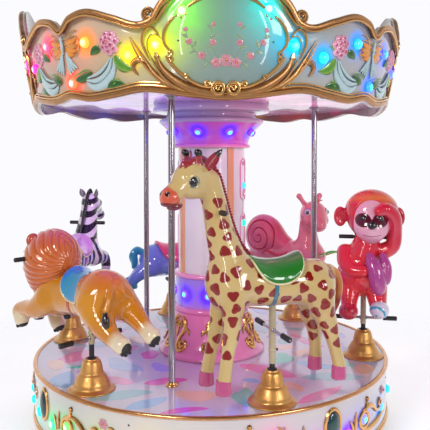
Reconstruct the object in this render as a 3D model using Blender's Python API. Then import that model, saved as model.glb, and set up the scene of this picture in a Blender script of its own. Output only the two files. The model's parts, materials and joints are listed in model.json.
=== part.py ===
"""Fairground carousel for small children: six animals on a turning deck under a canopy.

Metres, +Z up. The floor is z = 0 and the turntable turns about x = y = 0.
A bearing angle is measured from the front (-Y), positive towards +X.
Each animal stands in a place of its own: +X there is the way it faces, +Y is outward,
and z = 0 is the top of the deck under its post.
"""
import math

import bmesh
import bpy
from mathutils import Vector

# Clearance between pieces that touch
GAP = 0.0003
# The same where the pocket's corners are sharp
POCKET_GAP = 0.0005
# Running clearance round a sliding rod
SLIDE_GAP = 0.0006

# Heights from the floor
FOOT_HEIGHT = 0.025
BASE_TOP = 0.075
BEARING_TOP = 0.235
FRAME_TOP = 0.332
DECK_TOP = 0.360
SKIRT_BOTTOM = 0.045

# Radii of the fixed base and the turntable
BASE_REACH = 1.02
FOOT_CIRCLE = 0.96
BEARING_RADIUS = 0.20
FRAME_REACH = 1.04
DECK_RADIUS = 1.078
SKIRT_RADIUS = 1.092
RIM_RADIUS = 1.102
SKIRT_THICKNESS = 0.012

# Heights from here on are above the deck
CEILING = 1.550
CEILING_THICKNESS = 0.020
COLUMN_BASE_TOP = 0.505
SHAFT_TOP = 1.280
SHAFT_RADIUS = 0.2115
PILASTER_RADIUS = 0.222
PILASTER_BEARINGS = (33.0, 123.0, 213.0, 303.0)
PILASTER_HALF_ANGLE = 6.0

# Canopy: four equal units, each with a crest in its middle
CREST_BEARING = 3.5
UNIT_ANGLE = 90.0
FASCIA_STEP = 3.75
FASCIA_THICKNESS = 0.022
FASCIA_FOOT_RADIUS = 1.064
FASCIA_FOOT_HEIGHT = 1.506
FASCIA_LEAN = 0.193
FASCIA_KINK_HEIGHT = 1.80
FASCIA_UPPER_LEAN = 0.115
ROOF_APEX = 2.240

# Ride places
ANIMAL_CIRCLE = 0.954
GIRAFFE_BEARING = 18.5
PLACE_STEP = 60.0
POLE_CIRCLE = 0.700
POLE_BEARINGS = (-17.7, 102.3, 222.3)
POLE_RADIUS = 0.0185
ROD_RADIUS = 0.014
TUBE_RADIUS = 0.017
ROD_BOTTOM = -0.190
BELL_TOP = 0.165

ROUND_SIDES = 72
COLUMN_SIDES = 32
ROOF_SIDES = 24
SMALL_SIDES = 12
BAR_SIDES = 8
VOXEL = 0.014


def clear_scene():
    for obj in list(bpy.data.objects):
        bpy.data.objects.remove(obj)


def make_material(name, colour, roughness, metallic=0.0):
    material = bpy.data.materials.new(name)
    material.use_nodes = True
    shader = material.node_tree.nodes["Principled BSDF"]
    shader.inputs["Base Color"].default_value = (*colour, 1.0)
    shader.inputs["Roughness"].default_value = roughness
    shader.inputs["Metallic"].default_value = metallic
    return material


def finished_mesh(name, bm, sharp_angle=35.0):
    bmesh.ops.recalc_face_normals(bm, faces=bm.faces)
    mesh = bpy.data.meshes.new(name)
    bm.to_mesh(mesh)
    bm.free()
    mesh.shade_smooth()
    mesh.set_sharp_from_angle(angle=math.radians(sharp_angle))
    return mesh


def add_object(name, mesh, material, parent=None, height=0.0):
    obj = bpy.data.objects.new(name, mesh)
    bpy.context.scene.collection.objects.link(obj)
    obj.location.z = height
    obj.parent = parent
    mesh.materials.append(material)
    return obj


def add_empty(name, location, turn, parent=None):
    empty = bpy.data.objects.new(name, None)
    bpy.context.scene.collection.objects.link(empty)
    empty.location = location
    empty.rotation_euler.z = turn
    empty.parent = parent
    return empty


def at_bearing(radius, bearing, height=0.0):
    angle = math.radians(bearing)
    return Vector((radius * math.sin(angle), -radius * math.cos(angle), height))


def lofted(name, loops):
    """A closed shape through equal loops of points, capped at its first and last loop."""
    bm = bmesh.new()
    rings = [[bm.verts.new(point) for point in loop] for loop in loops]
    count = len(rings[0])
    for low, high in zip(rings, rings[1:]):
        for i in range(count):
            j = (i + 1) % count
            bm.faces.new((low[i], low[j], high[j], high[i]))
    # Split the same way each time, so that a pocket matches what lies in it
    bmesh.ops.triangulate(bm, faces=bm.faces, quad_method="FIXED")
    bm.faces.new(list(reversed(rings[0])))
    bm.faces.new(rings[-1])
    return finished_mesh(name, bm)


def turned(name, profile, sides, ring=False):
    """A profile of (radius, height) points turned about Z.

    The profile runs from the bottom up, and its ends are closed by flat discs.
    With ring it is a loop round a bore, its last point joined to its first.
    """
    bm = bmesh.new()
    rings = []
    for radius, height in profile:
        if radius == 0.0:
            rings.append([bm.verts.new((0.0, 0.0, height))] * sides)
            continue
        corners = [2.0 * math.pi * i / sides for i in range(sides)]
        rings.append([bm.verts.new((radius * math.cos(a), radius * math.sin(a), height))
                      for a in corners])
    pairs = list(zip(rings, rings[1:]))
    if ring:
        pairs.append((rings[-1], rings[0]))
    for low, high in pairs:
        for i in range(sides):
            j = (i + 1) % sides
            corners = list(dict.fromkeys((low[i], low[j], high[j], high[i])))
            if len(corners) > 2:
                bm.faces.new(corners)
    if not ring:
        for end in (rings[0], rings[-1]):
            if end[0] is not end[1]:
                bm.faces.new(end)
    return finished_mesh(name, bm)


def extruded(name, outline, low, high):
    """A flat outline of (x, y) points, raised from one height to another."""
    return lofted(name, [[(x, y, low) for x, y in outline], [(x, y, high) for x, y in outline]])


def combine(obj, other, operation):
    """Cut or join with another object, which is only a tool from then on."""
    other.hide_render = True
    other.display_type = "WIRE"
    modifier = obj.modifiers.new(operation.title(), "BOOLEAN")
    modifier.operation = operation
    modifier.object = other


def star_outline(arms, hub_radius, reach, width, first_bearing):
    """The plan of a hub with straight arms, as one outline."""
    half = width / 2.0
    root = math.sqrt(hub_radius ** 2 - half ** 2)
    hub_step = 10.0
    outline = []
    arm_step = 360.0 / arms
    edge = math.degrees(math.asin(half / hub_radius))
    for arm in range(arms):
        bearing = first_bearing + arm * arm_step
        out = at_bearing(1.0, bearing)
        side = at_bearing(1.0, bearing + 90.0)
        for along, across in ((root, -half), (reach, -half), (reach, half), (root, half)):
            point = out * along + side * across
            outline.append((point.x, point.y))
        steps = max(1, round((arm_step - 2.0 * edge) / hub_step))
        for i in range(1, steps):
            point = at_bearing(hub_radius, bearing + edge + (arm_step - 2.0 * edge) * i / steps)
            outline.append((point.x, point.y))
    return outline


def make_base(steel):
    """Six-arm base on seven round feet, and the bearing housing that the turntable turns on."""
    arms = 6
    outline = star_outline(arms, 0.24, BASE_REACH, 0.070, 0.0)
    base = add_object("base_frame", extruded("base_frame", outline, FOOT_HEIGHT, BASE_TOP), steel)
    foot_profile = [(0.040, 0.0), (0.045, 0.006), (0.045, 0.014), (0.018, 0.020), (0.018, 0.050)]
    foot_mesh = turned("foot", foot_profile, SMALL_SIDES)
    spots = [at_bearing(FOOT_CIRCLE, arm * 360.0 / arms) for arm in range(arms)]
    for i, spot in enumerate([Vector((0.0, 0.0, 0.0)), *spots]):
        foot = bpy.data.objects.new(f"foot_{i}", foot_mesh)
        bpy.context.scene.collection.objects.link(foot)
        foot.location = spot
        combine(base, foot, "UNION")
    housing = [
        (BEARING_RADIUS, BASE_TOP + GAP), (BEARING_RADIUS, BASE_TOP + 0.015),
        (0.150, BASE_TOP + 0.025), (0.150, BEARING_TOP - 0.040),
        (BEARING_RADIUS, BEARING_TOP - 0.030), (BEARING_RADIUS, BEARING_TOP - GAP),
    ]
    add_object("base_bearing", turned("base_bearing", housing, ROOF_SIDES), steel)


def rod_cutter(name, place, low, high):
    radius = ROD_RADIUS + SLIDE_GAP
    profile = [(radius, low), (radius, high)]
    cutter = bpy.data.objects.new(name, turned(name, profile, SMALL_SIDES))
    bpy.context.scene.collection.objects.link(cutter)
    cutter.parent = place
    return cutter


def make_turntable(steel, deck_white, gold, cream, places):
    """Frame under the deck, the deck with its rod holes, its rim and the skirt round it."""
    outline = star_outline(6, 0.26, FRAME_REACH, 0.060, GIRAFFE_BEARING + PLACE_STEP / 2.0)
    frame = extruded("turntable_frame", outline, BEARING_TOP, FRAME_TOP)
    add_object("turntable_frame", frame, steel)
    slab = [(DECK_RADIUS, FRAME_TOP + GAP), (DECK_RADIUS, DECK_TOP)]
    deck = add_object("deck", turned("deck", slab, ROUND_SIDES), deck_white)
    for name, place in places.items():
        combine(deck, rod_cutter(f"{name}_hole", place, -0.06, 0.03), "DIFFERENCE")
    inner = DECK_RADIUS + GAP
    rim = [
        (inner, DECK_TOP - 0.024), (RIM_RADIUS - 0.004, DECK_TOP - 0.022),
        (RIM_RADIUS, DECK_TOP - 0.008), (RIM_RADIUS - 0.008, DECK_TOP + 0.008),
        (inner, DECK_TOP + 0.004),
    ]
    add_object("deck_rim", turned("deck_rim", rim, ROUND_SIDES, ring=True), gold)
    panels = 4
    step = 360.0 / ROUND_SIDES
    steps = ROUND_SIDES // panels
    seam = math.degrees(GAP / 2.0 / SKIRT_RADIUS)
    top = DECK_TOP - 0.024 - GAP
    for panel in range(panels):
        loops = []
        for i in range(steps + 1):
            bearing = panel * 90.0 + i * step
            bearing += seam if i == 0 else -seam if i == steps else 0.0
            loops.append([
                at_bearing(SKIRT_RADIUS, bearing, SKIRT_BOTTOM),
                at_bearing(SKIRT_RADIUS, bearing, top),
                at_bearing(SKIRT_RADIUS - SKIRT_THICKNESS, bearing, top),
                at_bearing(SKIRT_RADIUS - SKIRT_THICKNESS, bearing, SKIRT_BOTTOM),
            ])
        add_object(f"skirt_{panel + 1}", lofted(f"skirt_{panel + 1}", loops), cream)


def make_column(pink, white):
    """Centre column: flared base with a light band, shaft with pilasters, capital."""
    base = [
        (0.333, GAP), (0.338, 0.010), (0.334, 0.026), (0.316, 0.034), (0.278, 0.105),
        (0.250, 0.190), (0.233, 0.262), (0.246, 0.268), (0.248, 0.288), (0.2275, 0.300),
        (0.2275, 0.476), (0.240, 0.480), (0.243, 0.492), (0.230, COLUMN_BASE_TOP),
    ]
    add_object("column_base", turned("column_base", base, COLUMN_SIDES), pink, height=DECK_TOP)
    outline = []
    step = 6.0
    for i in range(round(360.0 / step)):
        bearing = PILASTER_BEARINGS[0] + PILASTER_HALF_ANGLE + i * step
        nearest = min(abs((bearing - p + 180.0) % 360.0 - 180.0) for p in PILASTER_BEARINGS)
        if nearest > PILASTER_HALF_ANGLE + 0.01:
            point = at_bearing(SHAFT_RADIUS, bearing)
            outline.append((point.x, point.y))
            continue
        radii = [PILASTER_RADIUS]
        if abs(nearest - PILASTER_HALF_ANGLE) < 0.01:
            leaving = min(PILASTER_BEARINGS, key=lambda p: abs((bearing - p + 180.0) % 360.0 - 180.0))
            past = ((bearing - leaving + 180.0) % 360.0 - 180.0) > 0.0
            radii = [PILASTER_RADIUS, SHAFT_RADIUS] if past else [SHAFT_RADIUS, PILASTER_RADIUS]
        for radius in radii:
            point = at_bearing(radius, bearing)
            outline.append((point.x, point.y))
    shaft = extruded("column_shaft", outline, COLUMN_BASE_TOP + GAP, SHAFT_TOP - GAP)
    add_object("column_shaft", shaft, white, height=DECK_TOP)
    capital = [
        (0.234, SHAFT_TOP), (0.246, 1.288), (0.234, 1.304), (0.250, 1.345), (0.276, 1.385),
        (0.326, 1.432), (0.330, 1.446), (0.325, 1.460), (0.284, 1.466), (0.280, 1.496),
        (0.360, 1.502), (0.368, 1.518), (0.365, CEILING - GAP),
    ]
    add_object("column_capital", turned("column_capital", capital, COLUMN_SIDES), pink, height=DECK_TOP)


def fascia_radius(height):
    if height <= FASCIA_KINK_HEIGHT:
        return FASCIA_FOOT_RADIUS + (height - FASCIA_FOOT_HEIGHT) * FASCIA_LEAN
    kink = FASCIA_FOOT_RADIUS + (FASCIA_KINK_HEIGHT - FASCIA_FOOT_HEIGHT) * FASCIA_LEAN
    return kink + (height - FASCIA_KINK_HEIGHT) * FASCIA_UPPER_LEAN


def eased(points, at):
    """A smooth line through (place, height) points, level at each one that is a peak or dip."""
    for i, (left, right) in enumerate(zip(points, points[1:])):
        if at <= right[0]:
            break
    slopes = []
    for k in (i, i + 1):
        if k == 0 or k == len(points) - 1:
            slopes.append(0.0)
            continue
        before = (points[k][1] - points[k - 1][1]) / (points[k][0] - points[k - 1][0])
        after = (points[k + 1][1] - points[k][1]) / (points[k + 1][0] - points[k][0])
        slopes.append(0.0 if before * after <= 0.0 else 2.0 * before * after / (before + after))
    width = right[0] - left[0]
    t = (at - left[0]) / width
    return ((2 * t ** 3 - 3 * t ** 2 + 1) * left[1] + (t ** 3 - 2 * t ** 2 + t) * width * slopes[0]
            + (3 * t ** 2 - 2 * t ** 3) * right[1] + (t ** 3 - t ** 2) * width * slopes[1])


# Half of a fascia unit: angle from its middle, height of the edge
FASCIA_TOP_EDGE = (
    (0.0, 2.125), (5.0, 2.095), (10.0, 2.020), (15.0, 1.940), (18.0, 1.862), (21.0, 1.848),
    (28.0, 1.890), (36.0, 1.932), (41.0, 1.915), (45.0, 1.864),
)
FASCIA_BOTTOM_EDGE = (
    (0.0, 1.490), (8.0, 1.502), (21.0, 1.532), (29.0, 1.512), (37.0, 1.498), (45.0, 1.518),
)


def make_canopy(cream, white, gold):
    """Flat ceiling on the column, four fascia units round it, and a low roof with a finial."""
    inner = fascia_radius(CEILING) - FASCIA_THICKNESS - GAP
    sides = round(360.0 / FASCIA_STEP)
    disc = [(inner, CEILING), (inner, CEILING + CEILING_THICKNESS)]
    ceiling = add_object("canopy_ceiling", turned("canopy_ceiling", disc, sides), white,
                         height=DECK_TOP)
    ceiling.rotation_euler.z = math.radians(CREST_BEARING)
    steps = round(UNIT_ANGLE / FASCIA_STEP)
    seam = math.degrees(GAP / 2.0 / FASCIA_FOOT_RADIUS)
    for unit in range(4):
        loops = []
        for i in range(steps + 1):
            offset = i * FASCIA_STEP - UNIT_ANGLE / 2.0
            low = eased(FASCIA_BOTTOM_EDGE, abs(offset))
            high = eased(FASCIA_TOP_EDGE, abs(offset))
            bearing = CREST_BEARING + unit * UNIT_ANGLE + offset
            bearing += seam if i == 0 else -seam if i == steps else 0.0
            heights = (low, FASCIA_KINK_HEIGHT, high)
            outer = [at_bearing(fascia_radius(z), bearing, z) for z in heights]
            back = [at_bearing(fascia_radius(z) - FASCIA_THICKNESS, bearing, z) for z in heights]
            loops.append(outer + back[::-1])
        name = f"fascia_{unit + 1}"
        add_object(name, lofted(name, loops), cream, height=DECK_TOP)
    eave = CEILING + CEILING_THICKNESS + GAP
    skin = 0.008
    slope = [(1.035, eave), (1.025, eave + 0.030), (0.820, 1.700), (0.560, 1.845),
             (0.300, 2.010), (0.130, 2.160), (0.050, ROOF_APEX)]
    under = [(radius - skin, height - skin) for radius, height in slope[1:-1]]
    roof = slope + [(0.0, ROOF_APEX), (0.0, ROOF_APEX - 2.0 * skin)]
    roof += [(0.045, ROOF_APEX - 2.0 * skin)] + under[::-1] + [(1.035 - skin, eave)]
    add_object("canopy_roof", turned("canopy_roof", roof, ROOF_SIDES, ring=True), cream,
               height=DECK_TOP)
    finial = [(0.045, ROOF_APEX + GAP), (0.045, 2.250), (0.020, 2.262), (0.030, 2.280),
              (0.048, 2.310), (0.050, 2.330), (0.038, 2.358), (0.016, 2.380), (0.0, 2.400)]
    add_object("roof_finial", turned("roof_finial", finial, SMALL_SIDES), gold, height=DECK_TOP)


def make_poles(chrome):
    flange = 0.036
    profile = [
        (flange, GAP), (flange, 0.006), (0.026, 0.012), (POLE_RADIUS, 0.018),
        (POLE_RADIUS, CEILING - 0.018), (0.026, CEILING - 0.012), (flange, CEILING - 0.006),
        (flange, CEILING - GAP),
    ]
    for i, bearing in enumerate(POLE_BEARINGS):
        pole = add_object(f"pole_{i + 1}", turned(f"pole_{i + 1}", profile, SMALL_SIDES), chrome)
        pole.location = at_bearing(POLE_CIRCLE, bearing, DECK_TOP)


def make_bell(name, place, gold):
    """The gold boot on the deck that the rod slides through."""
    bore = ROD_RADIUS + SLIDE_GAP
    profile = [
        (bore, GAP), (0.122, GAP), (0.124, 0.007), (0.094, 0.018), (0.089, 0.038),
        (0.068, 0.084), (0.058, 0.098), (0.056, 0.114), (0.045, 0.154), (0.036, BELL_TOP),
        (bore, BELL_TOP),
    ]
    mesh = turned(f"{name}_bell", profile, SMALL_SIDES, ring=True)
    add_object(f"{name}_bell", mesh, gold, parent=place)


def add_ball(bm, centre, radii, pitch=0.0):
    """An egg shape; pitch tips its long axis, nose up, in degrees."""
    made = bmesh.ops.create_uvsphere(bm, u_segments=16, v_segments=10, radius=1.0)
    tip = math.radians(pitch)
    for vert in made["verts"]:
        x, y, z = (c * r for c, r in zip(vert.co, radii))
        vert.co = Vector((x * math.cos(tip) - z * math.sin(tip), y,
                          x * math.sin(tip) + z * math.cos(tip))) + Vector(centre)


def add_limb(bm, stations):
    """Round stations (x, y, z, radius) joined one to the next."""
    for x, y, z, radius in stations:
        add_ball(bm, (x, y, z), (radius, radius, radius))
    for first, second in zip(stations, stations[1:]):
        low = Vector(first[:3])
        high = Vector(second[:3])
        along = high - low
        made = bmesh.ops.create_cone(bm, cap_ends=True, segments=16, radius1=first[3],
                                     radius2=second[3], depth=along.length)
        turn = along.to_track_quat("Z", "Y")
        for vert in made["verts"]:
            vert.co = turn @ vert.co + (low + high) / 2.0


def both_sides(stations):
    return [stations, [(x, -y, z, radius) for x, y, z, radius in stations]]


def head_turned(stations, pivot, yaw):
    """Stations given from a head's pivot (forward, left, height), swung about the pivot."""
    cosine = math.cos(math.radians(yaw))
    sine = math.sin(math.radians(yaw))
    return [(pivot[0] + ahead * cosine - left * sine, pivot[1] + ahead * sine + left * cosine,
             height, radius) for ahead, left, height, radius in stations]


def giraffe_shape():
    limbs = [
        [(0.235, 0, 0.625, 0.116), (0.13, 0, 0.612, 0.116), (0.0, 0, 0.600, 0.112),
         (-0.12, 0, 0.598, 0.115), (-0.225, 0, 0.588, 0.120)],
        [(0.215, 0, 0.680, 0.100), (0.262, 0, 0.790, 0.083), (0.290, 0, 0.900, 0.072),
         (0.312, 0, 1.020, 0.064), (0.340, 0, 1.110, 0.066)],
        [(-0.325, 0, 0.655, 0.024), (-0.370, 0, 0.610, 0.021), (-0.382, 0, 0.540, 0.019),
         (-0.360, 0, 0.460, 0.020), (-0.330, 0, 0.420, 0.018)],
        [(0.225, 0.065, 0.585, 0.070), (0.240, 0.072, 0.480, 0.050), (0.240, 0.072, 0.385, 0.042),
         (0.270, 0.072, 0.260, 0.033), (0.280, 0.072, 0.165, 0.036), (0.282, 0.072, 0.140, 0.040)],
        [(0.225, -0.065, 0.585, 0.070), (0.250, -0.072, 0.480, 0.050),
         (0.262, -0.072, 0.380, 0.042), (0.300, -0.072, 0.260, 0.033),
         (0.318, -0.072, 0.170, 0.036), (0.320, -0.072, 0.144, 0.040)],
        [(-0.225, 0.060, 0.570, 0.090), (-0.245, 0.072, 0.460, 0.060),
         (-0.290, 0.072, 0.360, 0.044), (-0.315, 0.072, 0.260, 0.035),
         (-0.338, 0.072, 0.170, 0.036), (-0.345, 0.072, 0.142, 0.040)],
        [(-0.225, -0.060, 0.570, 0.090), (-0.240, -0.072, 0.450, 0.060),
         (-0.272, -0.072, 0.340, 0.044), (-0.280, -0.072, 0.250, 0.035),
         (-0.280, -0.072, 0.190, 0.036), (-0.282, -0.072, 0.160, 0.040)],
    ]
    pivot = (0.370, 0.0)
    yaw = 25.0
    head = [(0.0, 0.0, 1.120, 0.076), (0.035, 0.0, 1.120, 0.080), (0.075, 0.0, 1.085, 0.068),
            (0.145, 0.0, 1.040, 0.050), (0.182, 0.0, 1.028, 0.046)]
    limbs.append(head_turned(head, pivot, yaw))
    for side in (1.0, -1.0):
        horn = [(0.040, side * 0.034, 1.180, 0.020), (0.060, side * 0.044, 1.248, 0.019)]
        ear = [(0.015, side * 0.058, 1.165, 0.026), (-0.005, side * 0.078, 1.215, 0.024),
               (-0.018, side * 0.098, 1.258, 0.010)]
        limbs.append(head_turned(horn, pivot, yaw))
        limbs.append(head_turned(ear, pivot, yaw))
    return limbs, []


def lion_shape():
    limbs = [
        [(0.290, 0, 0.475, 0.128), (0.120, 0, 0.482, 0.112), (-0.085, 0, 0.510, 0.136)],
        [(0.300, 0.080, 0.430, 0.072), (0.400, 0.090, 0.385, 0.055), (0.520, 0.090, 0.378, 0.046),
         (0.535, 0.090, 0.345, 0.044), (0.510, 0.090, 0.300, 0.046)],
        [(0.300, -0.080, 0.425, 0.072), (0.390, -0.090, 0.365, 0.054),
         (0.465, -0.090, 0.325, 0.046), (0.430, -0.090, 0.255, 0.046)],
        [(-0.110, 0.065, 0.470, 0.095), (-0.200, 0.085, 0.390, 0.060),
         (-0.290, 0.090, 0.335, 0.045), (-0.355, 0.090, 0.325, 0.043)],
        [(-0.115, -0.065, 0.490, 0.095), (-0.215, -0.085, 0.435, 0.060),
         (-0.310, -0.090, 0.365, 0.045), (-0.368, -0.090, 0.330, 0.043)],
        [(-0.190, 0.010, 0.590, 0.024), (-0.232, 0.050, 0.550, 0.018),
         (-0.255, 0.085, 0.480, 0.017), (-0.262, 0.110, 0.410, 0.026)],
        [(0.420, -0.010, 0.620, 0.105), (0.490, -0.018, 0.585, 0.060), (0.510, -0.020, 0.575, 0.050)],
        [(0.420, 0.090, 0.770, 0.034)],
        [(0.420, -0.090, 0.770, 0.034)],
    ]
    balls = [((0.355, 0.0, 0.645), (0.165, 0.165, 0.182), 0.0),
             ((0.385, 0.0, 0.540), (0.110, 0.120, 0.120), -20.0)]
    return limbs, balls


def zebra_shape():
    limbs = [
        [(0.215, 0, 0.560, 0.112), (0.0, 0, 0.552, 0.104), (-0.195, 0, 0.565, 0.116)],
        [(0.215, 0, 0.620, 0.092), (0.270, 0, 0.745, 0.072), (0.310, 0, 0.870, 0.060)],
        [(0.330, 0, 0.905, 0.064), (0.375, 0, 0.875, 0.058), (0.435, 0, 0.825, 0.044),
         (0.475, 0, 0.795, 0.042)],
        [(0.225, 0.065, 0.520, 0.064), (0.300, 0.075, 0.415, 0.042), (0.285, 0.075, 0.300, 0.032),
         (0.262, 0.075, 0.225, 0.034)],
        [(0.230, -0.065, 0.520, 0.064), (0.365, -0.088, 0.500, 0.042),
         (0.385, -0.090, 0.420, 0.033), (0.335, -0.090, 0.360, 0.034)],
        [(-0.205, 0.060, 0.530, 0.088), (-0.225, 0.075, 0.410, 0.050),
         (-0.300, 0.075, 0.300, 0.036), (-0.335, 0.075, 0.220, 0.034)],
        [(-0.205, -0.060, 0.530, 0.088), (-0.200, -0.075, 0.400, 0.050),
         (-0.250, -0.075, 0.290, 0.036), (-0.265, -0.075, 0.215, 0.034)],
        [(-0.290, 0, 0.620, 0.026), (-0.345, 0, 0.580, 0.024), (-0.370, 0, 0.500, 0.026),
         (-0.365, 0, 0.420, 0.020)],
    ]
    limbs += both_sides([(0.300, 0.040, 0.945, 0.022), (0.285, 0.055, 0.985, 0.014)])
    return limbs, []


def pony_shape():
    limbs = [
        [(0.180, 0, 0.430, 0.124), (0.0, 0, 0.415, 0.118), (-0.150, 0, 0.420, 0.130)],
        [(0.190, 0, 0.490, 0.100), (0.265, 0, 0.620, 0.078), (0.300, 0, 0.720, 0.076)],
        [(0.315, 0, 0.755, 0.084), (0.385, 0, 0.715, 0.062), (0.425, 0, 0.695, 0.056)],
        [(0.195, 0.070, 0.390, 0.066), (0.320, 0.080, 0.360, 0.046), (0.360, 0.080, 0.280, 0.040),
         (0.340, 0.080, 0.235, 0.042)],
        [(0.195, -0.070, 0.390, 0.066), (0.290, -0.080, 0.310, 0.046),
         (0.285, -0.080, 0.220, 0.040), (0.260, -0.080, 0.180, 0.042)],
        [(-0.165, 0.065, 0.400, 0.095), (-0.250, 0.080, 0.310, 0.058),
         (-0.310, 0.080, 0.250, 0.044), (-0.345, 0.080, 0.235, 0.044)],
        [(-0.165, -0.065, 0.400, 0.095), (-0.255, -0.080, 0.350, 0.058),
         (-0.320, -0.080, 0.300, 0.046), (-0.345, -0.080, 0.260, 0.044)],
        [(-0.245, 0, 0.480, 0.034), (-0.295, 0, 0.500, 0.032), (-0.320, 0, 0.455, 0.034),
         (-0.300, 0, 0.400, 0.026)],
    ]
    limbs += both_sides([(0.300, 0.050, 0.825, 0.024), (0.290, 0.062, 0.862, 0.014)])
    return limbs, []


def monkey_shape():
    limbs = [
        [(0.0, -0.010, 0.600, 0.105), (0.020, 0.020, 0.700, 0.080)],
        [(0.030, -0.075, 0.420, 0.070), (0.075, -0.085, 0.360, 0.052), (0.095, -0.090, 0.300, 0.044)],
        [(0.030, 0.070, 0.420, 0.070), (0.090, 0.080, 0.350, 0.056), (0.110, 0.085, 0.305, 0.052)],
        [(0.010, 0.115, 0.640, 0.055), (0.020, 0.160, 0.690, 0.046), (0.045, 0.168, 0.800, 0.042),
         (0.095, 0.150, 0.900, 0.040), (0.140, 0.090, 0.925, 0.036)],
        [(0.010, -0.110, 0.630, 0.052), (0.060, -0.105, 0.560, 0.044), (0.110, -0.040, 0.520, 0.038)],
        [(0.085, 0.045, 0.590, 0.046), (0.120, 0.070, 0.480, 0.052), (0.105, 0.085, 0.430, 0.046)],
        [(-0.110, 0, 0.430, 0.026), (-0.170, 0, 0.450, 0.022), (-0.195, 0, 0.530, 0.022),
         (-0.165, 0, 0.590, 0.024)],
        [(0.0, -0.150, 0.862, 0.042), (0.005, -0.176, 0.864, 0.032)],
        [(0.0, 0.185, 0.862, 0.030)],
        [(0.110, 0.035, 0.790, 0.075), (0.135, 0.035, 0.770, 0.065)],
    ]
    balls = [((0.0, -0.012, 0.505), (0.128, 0.152, 0.140), 0.0),
             ((0.025, 0.045, 0.868), (0.150, 0.158, 0.160), 0.0)]
    return limbs, balls


def snail_shape():
    limbs = [
        [(0.190, 0, 0.490, 0.078), (0.050, 0, 0.505, 0.088), (-0.120, 0, 0.500, 0.085),
         (-0.300, 0, 0.480, 0.066), (-0.420, 0, 0.458, 0.034)],
        [(0.120, 0, 0.560, 0.088), (0.122, 0, 0.680, 0.066), (0.132, 0, 0.780, 0.072)],
    ]
    pivot = (0.140, 0.0)
    yaw = -30.0
    head = [(0.040, 0, 0.800, 0.108), (0.120, 0, 0.745, 0.066)]
    limbs.append(head_turned(head, pivot, yaw))
    for side in (1.0, -1.0):
        horn = [(0.000, side * 0.045, 0.875, 0.026), (-0.020, side * 0.085, 0.940, 0.023)]
        limbs.append(head_turned(horn, pivot, yaw))
    balls = [((-0.300, 0.0, 0.602), (0.172, 0.092, 0.174), 0.0),
             ((-0.190, 0.0, 0.520), (0.110, 0.086, 0.085), -25.0)]
    return limbs, balls


def make_figure(name, place, shape, faces, material):
    """The animal's shell: its rounds and eggs melted into one skin of about this many faces."""
    limbs, balls = shape
    bm = bmesh.new()
    for stations in limbs:
        add_limb(bm, stations)
    for centre, radii, pitch in balls:
        add_ball(bm, centre, radii, pitch)
    figure = add_object(name, finished_mesh(name, bm), material, parent=place)
    skin = figure.modifiers.new("Skin", "REMESH")
    skin.mode = "VOXEL"
    skin.voxel_size = VOXEL
    skin.use_smooth_shade = True
    soften = figure.modifiers.new("Soften", "SMOOTH")
    soften.factor = 0.5
    soften.iterations = 3
    bpy.context.view_layer.update()
    dense = figure.evaluated_get(bpy.context.evaluated_depsgraph_get())
    facet = figure.modifiers.new("Facet", "DECIMATE")
    facet.ratio = faces / (2.0 * len(dense.data.polygons))
    return figure


def saddle_mesh(name, middle, half_length, radius, rise, half_angle, low=0.0, high=0.020,
                margin=0.0):
    """A pad bent over the back, its ends rising to pommel and cantle.

    middle is the (x, z) of the back's centre line under it. It lies between low and high
    above its seat on the back, and margin widens it all round.
    """
    stations = 7
    across = 6
    loops = []
    for i in range(stations):
        t = -1.0 + 2.0 * i / (stations - 1)
        x = middle[0] + t * (half_length + margin)
        seat = radius + rise * t * t
        spread = half_angle * math.sqrt(1.0 - 0.86 * t * t) + math.degrees(margin / radius)
        loop = []
        for r in (seat + high, seat + low):
            arc = []
            for j in range(across + 1):
                angle = math.radians(-spread + 2.0 * spread * j / across)
                arc.append((x, r * math.sin(angle), middle[1] + r * math.cos(angle)))
            loop += arc if r > seat + low else arc[::-1]
        loops.append(loop)
    return lofted(name, loops)


def add_tool(name, mesh, place):
    tool = bpy.data.objects.new(name, mesh)
    bpy.context.scene.collection.objects.link(tool)
    tool.parent = place
    return tool


def make_saddle(name, place, figure, material, **form):
    """The saddle, its pocket in the animal's back, and the skin above it cleared away."""
    seat = saddle_mesh(f"{name}_saddle", **form)
    add_object(f"{name}_saddle", seat, material, parent=place)
    above = saddle_mesh(f"{name}_clearing", low=0.008, high=0.070, margin=0.0015, **form)
    combine(figure, add_tool(f"{name}_clearing", above, place), "DIFFERENCE")
    pocket = add_tool(f"{name}_pocket", seat, place)
    swell = pocket.modifiers.new("Swell", "DISPLACE")
    swell.mid_level = 0.0
    swell.strength = POCKET_GAP
    combine(figure, pocket, "DIFFERENCE")


def crossbar_mesh(name, half_length, grip_length, bar_radius, grip_radius, grow=0.0):
    """A bar along Y with a fatter grip on each end."""
    start = half_length - grip_length
    bar = bar_radius + grow
    grip = grip_radius + grow
    profile = [(grip * 0.8, -half_length), (grip, -half_length + 0.004), (grip, -start),
               (bar, -start + 0.001), (bar, start - 0.001), (grip, start),
               (grip, half_length - 0.004), (grip * 0.8, half_length)]
    mesh = turned(name, profile, BAR_SIDES)
    for vert in mesh.vertices:
        x, y, z = vert.co
        vert.co = (x, z, -y)
    return mesh


def make_handle(name, place, figure, material, x, z, half_length):
    """The hand bar through the neck, held in a bore of its own."""
    radius = 0.013
    mesh = crossbar_mesh(f"{name}_handle", half_length, 0.09, radius - 0.003, radius)
    handle = add_object(f"{name}_handle", mesh, material, parent=place)
    handle.location = (x, 0.0, z)
    bore_mesh = crossbar_mesh(f"{name}_handle_bore", half_length + 0.01, 0.1, radius - 0.003,
                              radius, GAP)
    bore = add_tool(f"{name}_handle_bore", bore_mesh, place)
    bore.location = (x, 0.0, z)
    combine(figure, bore, "DIFFERENCE")


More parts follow.
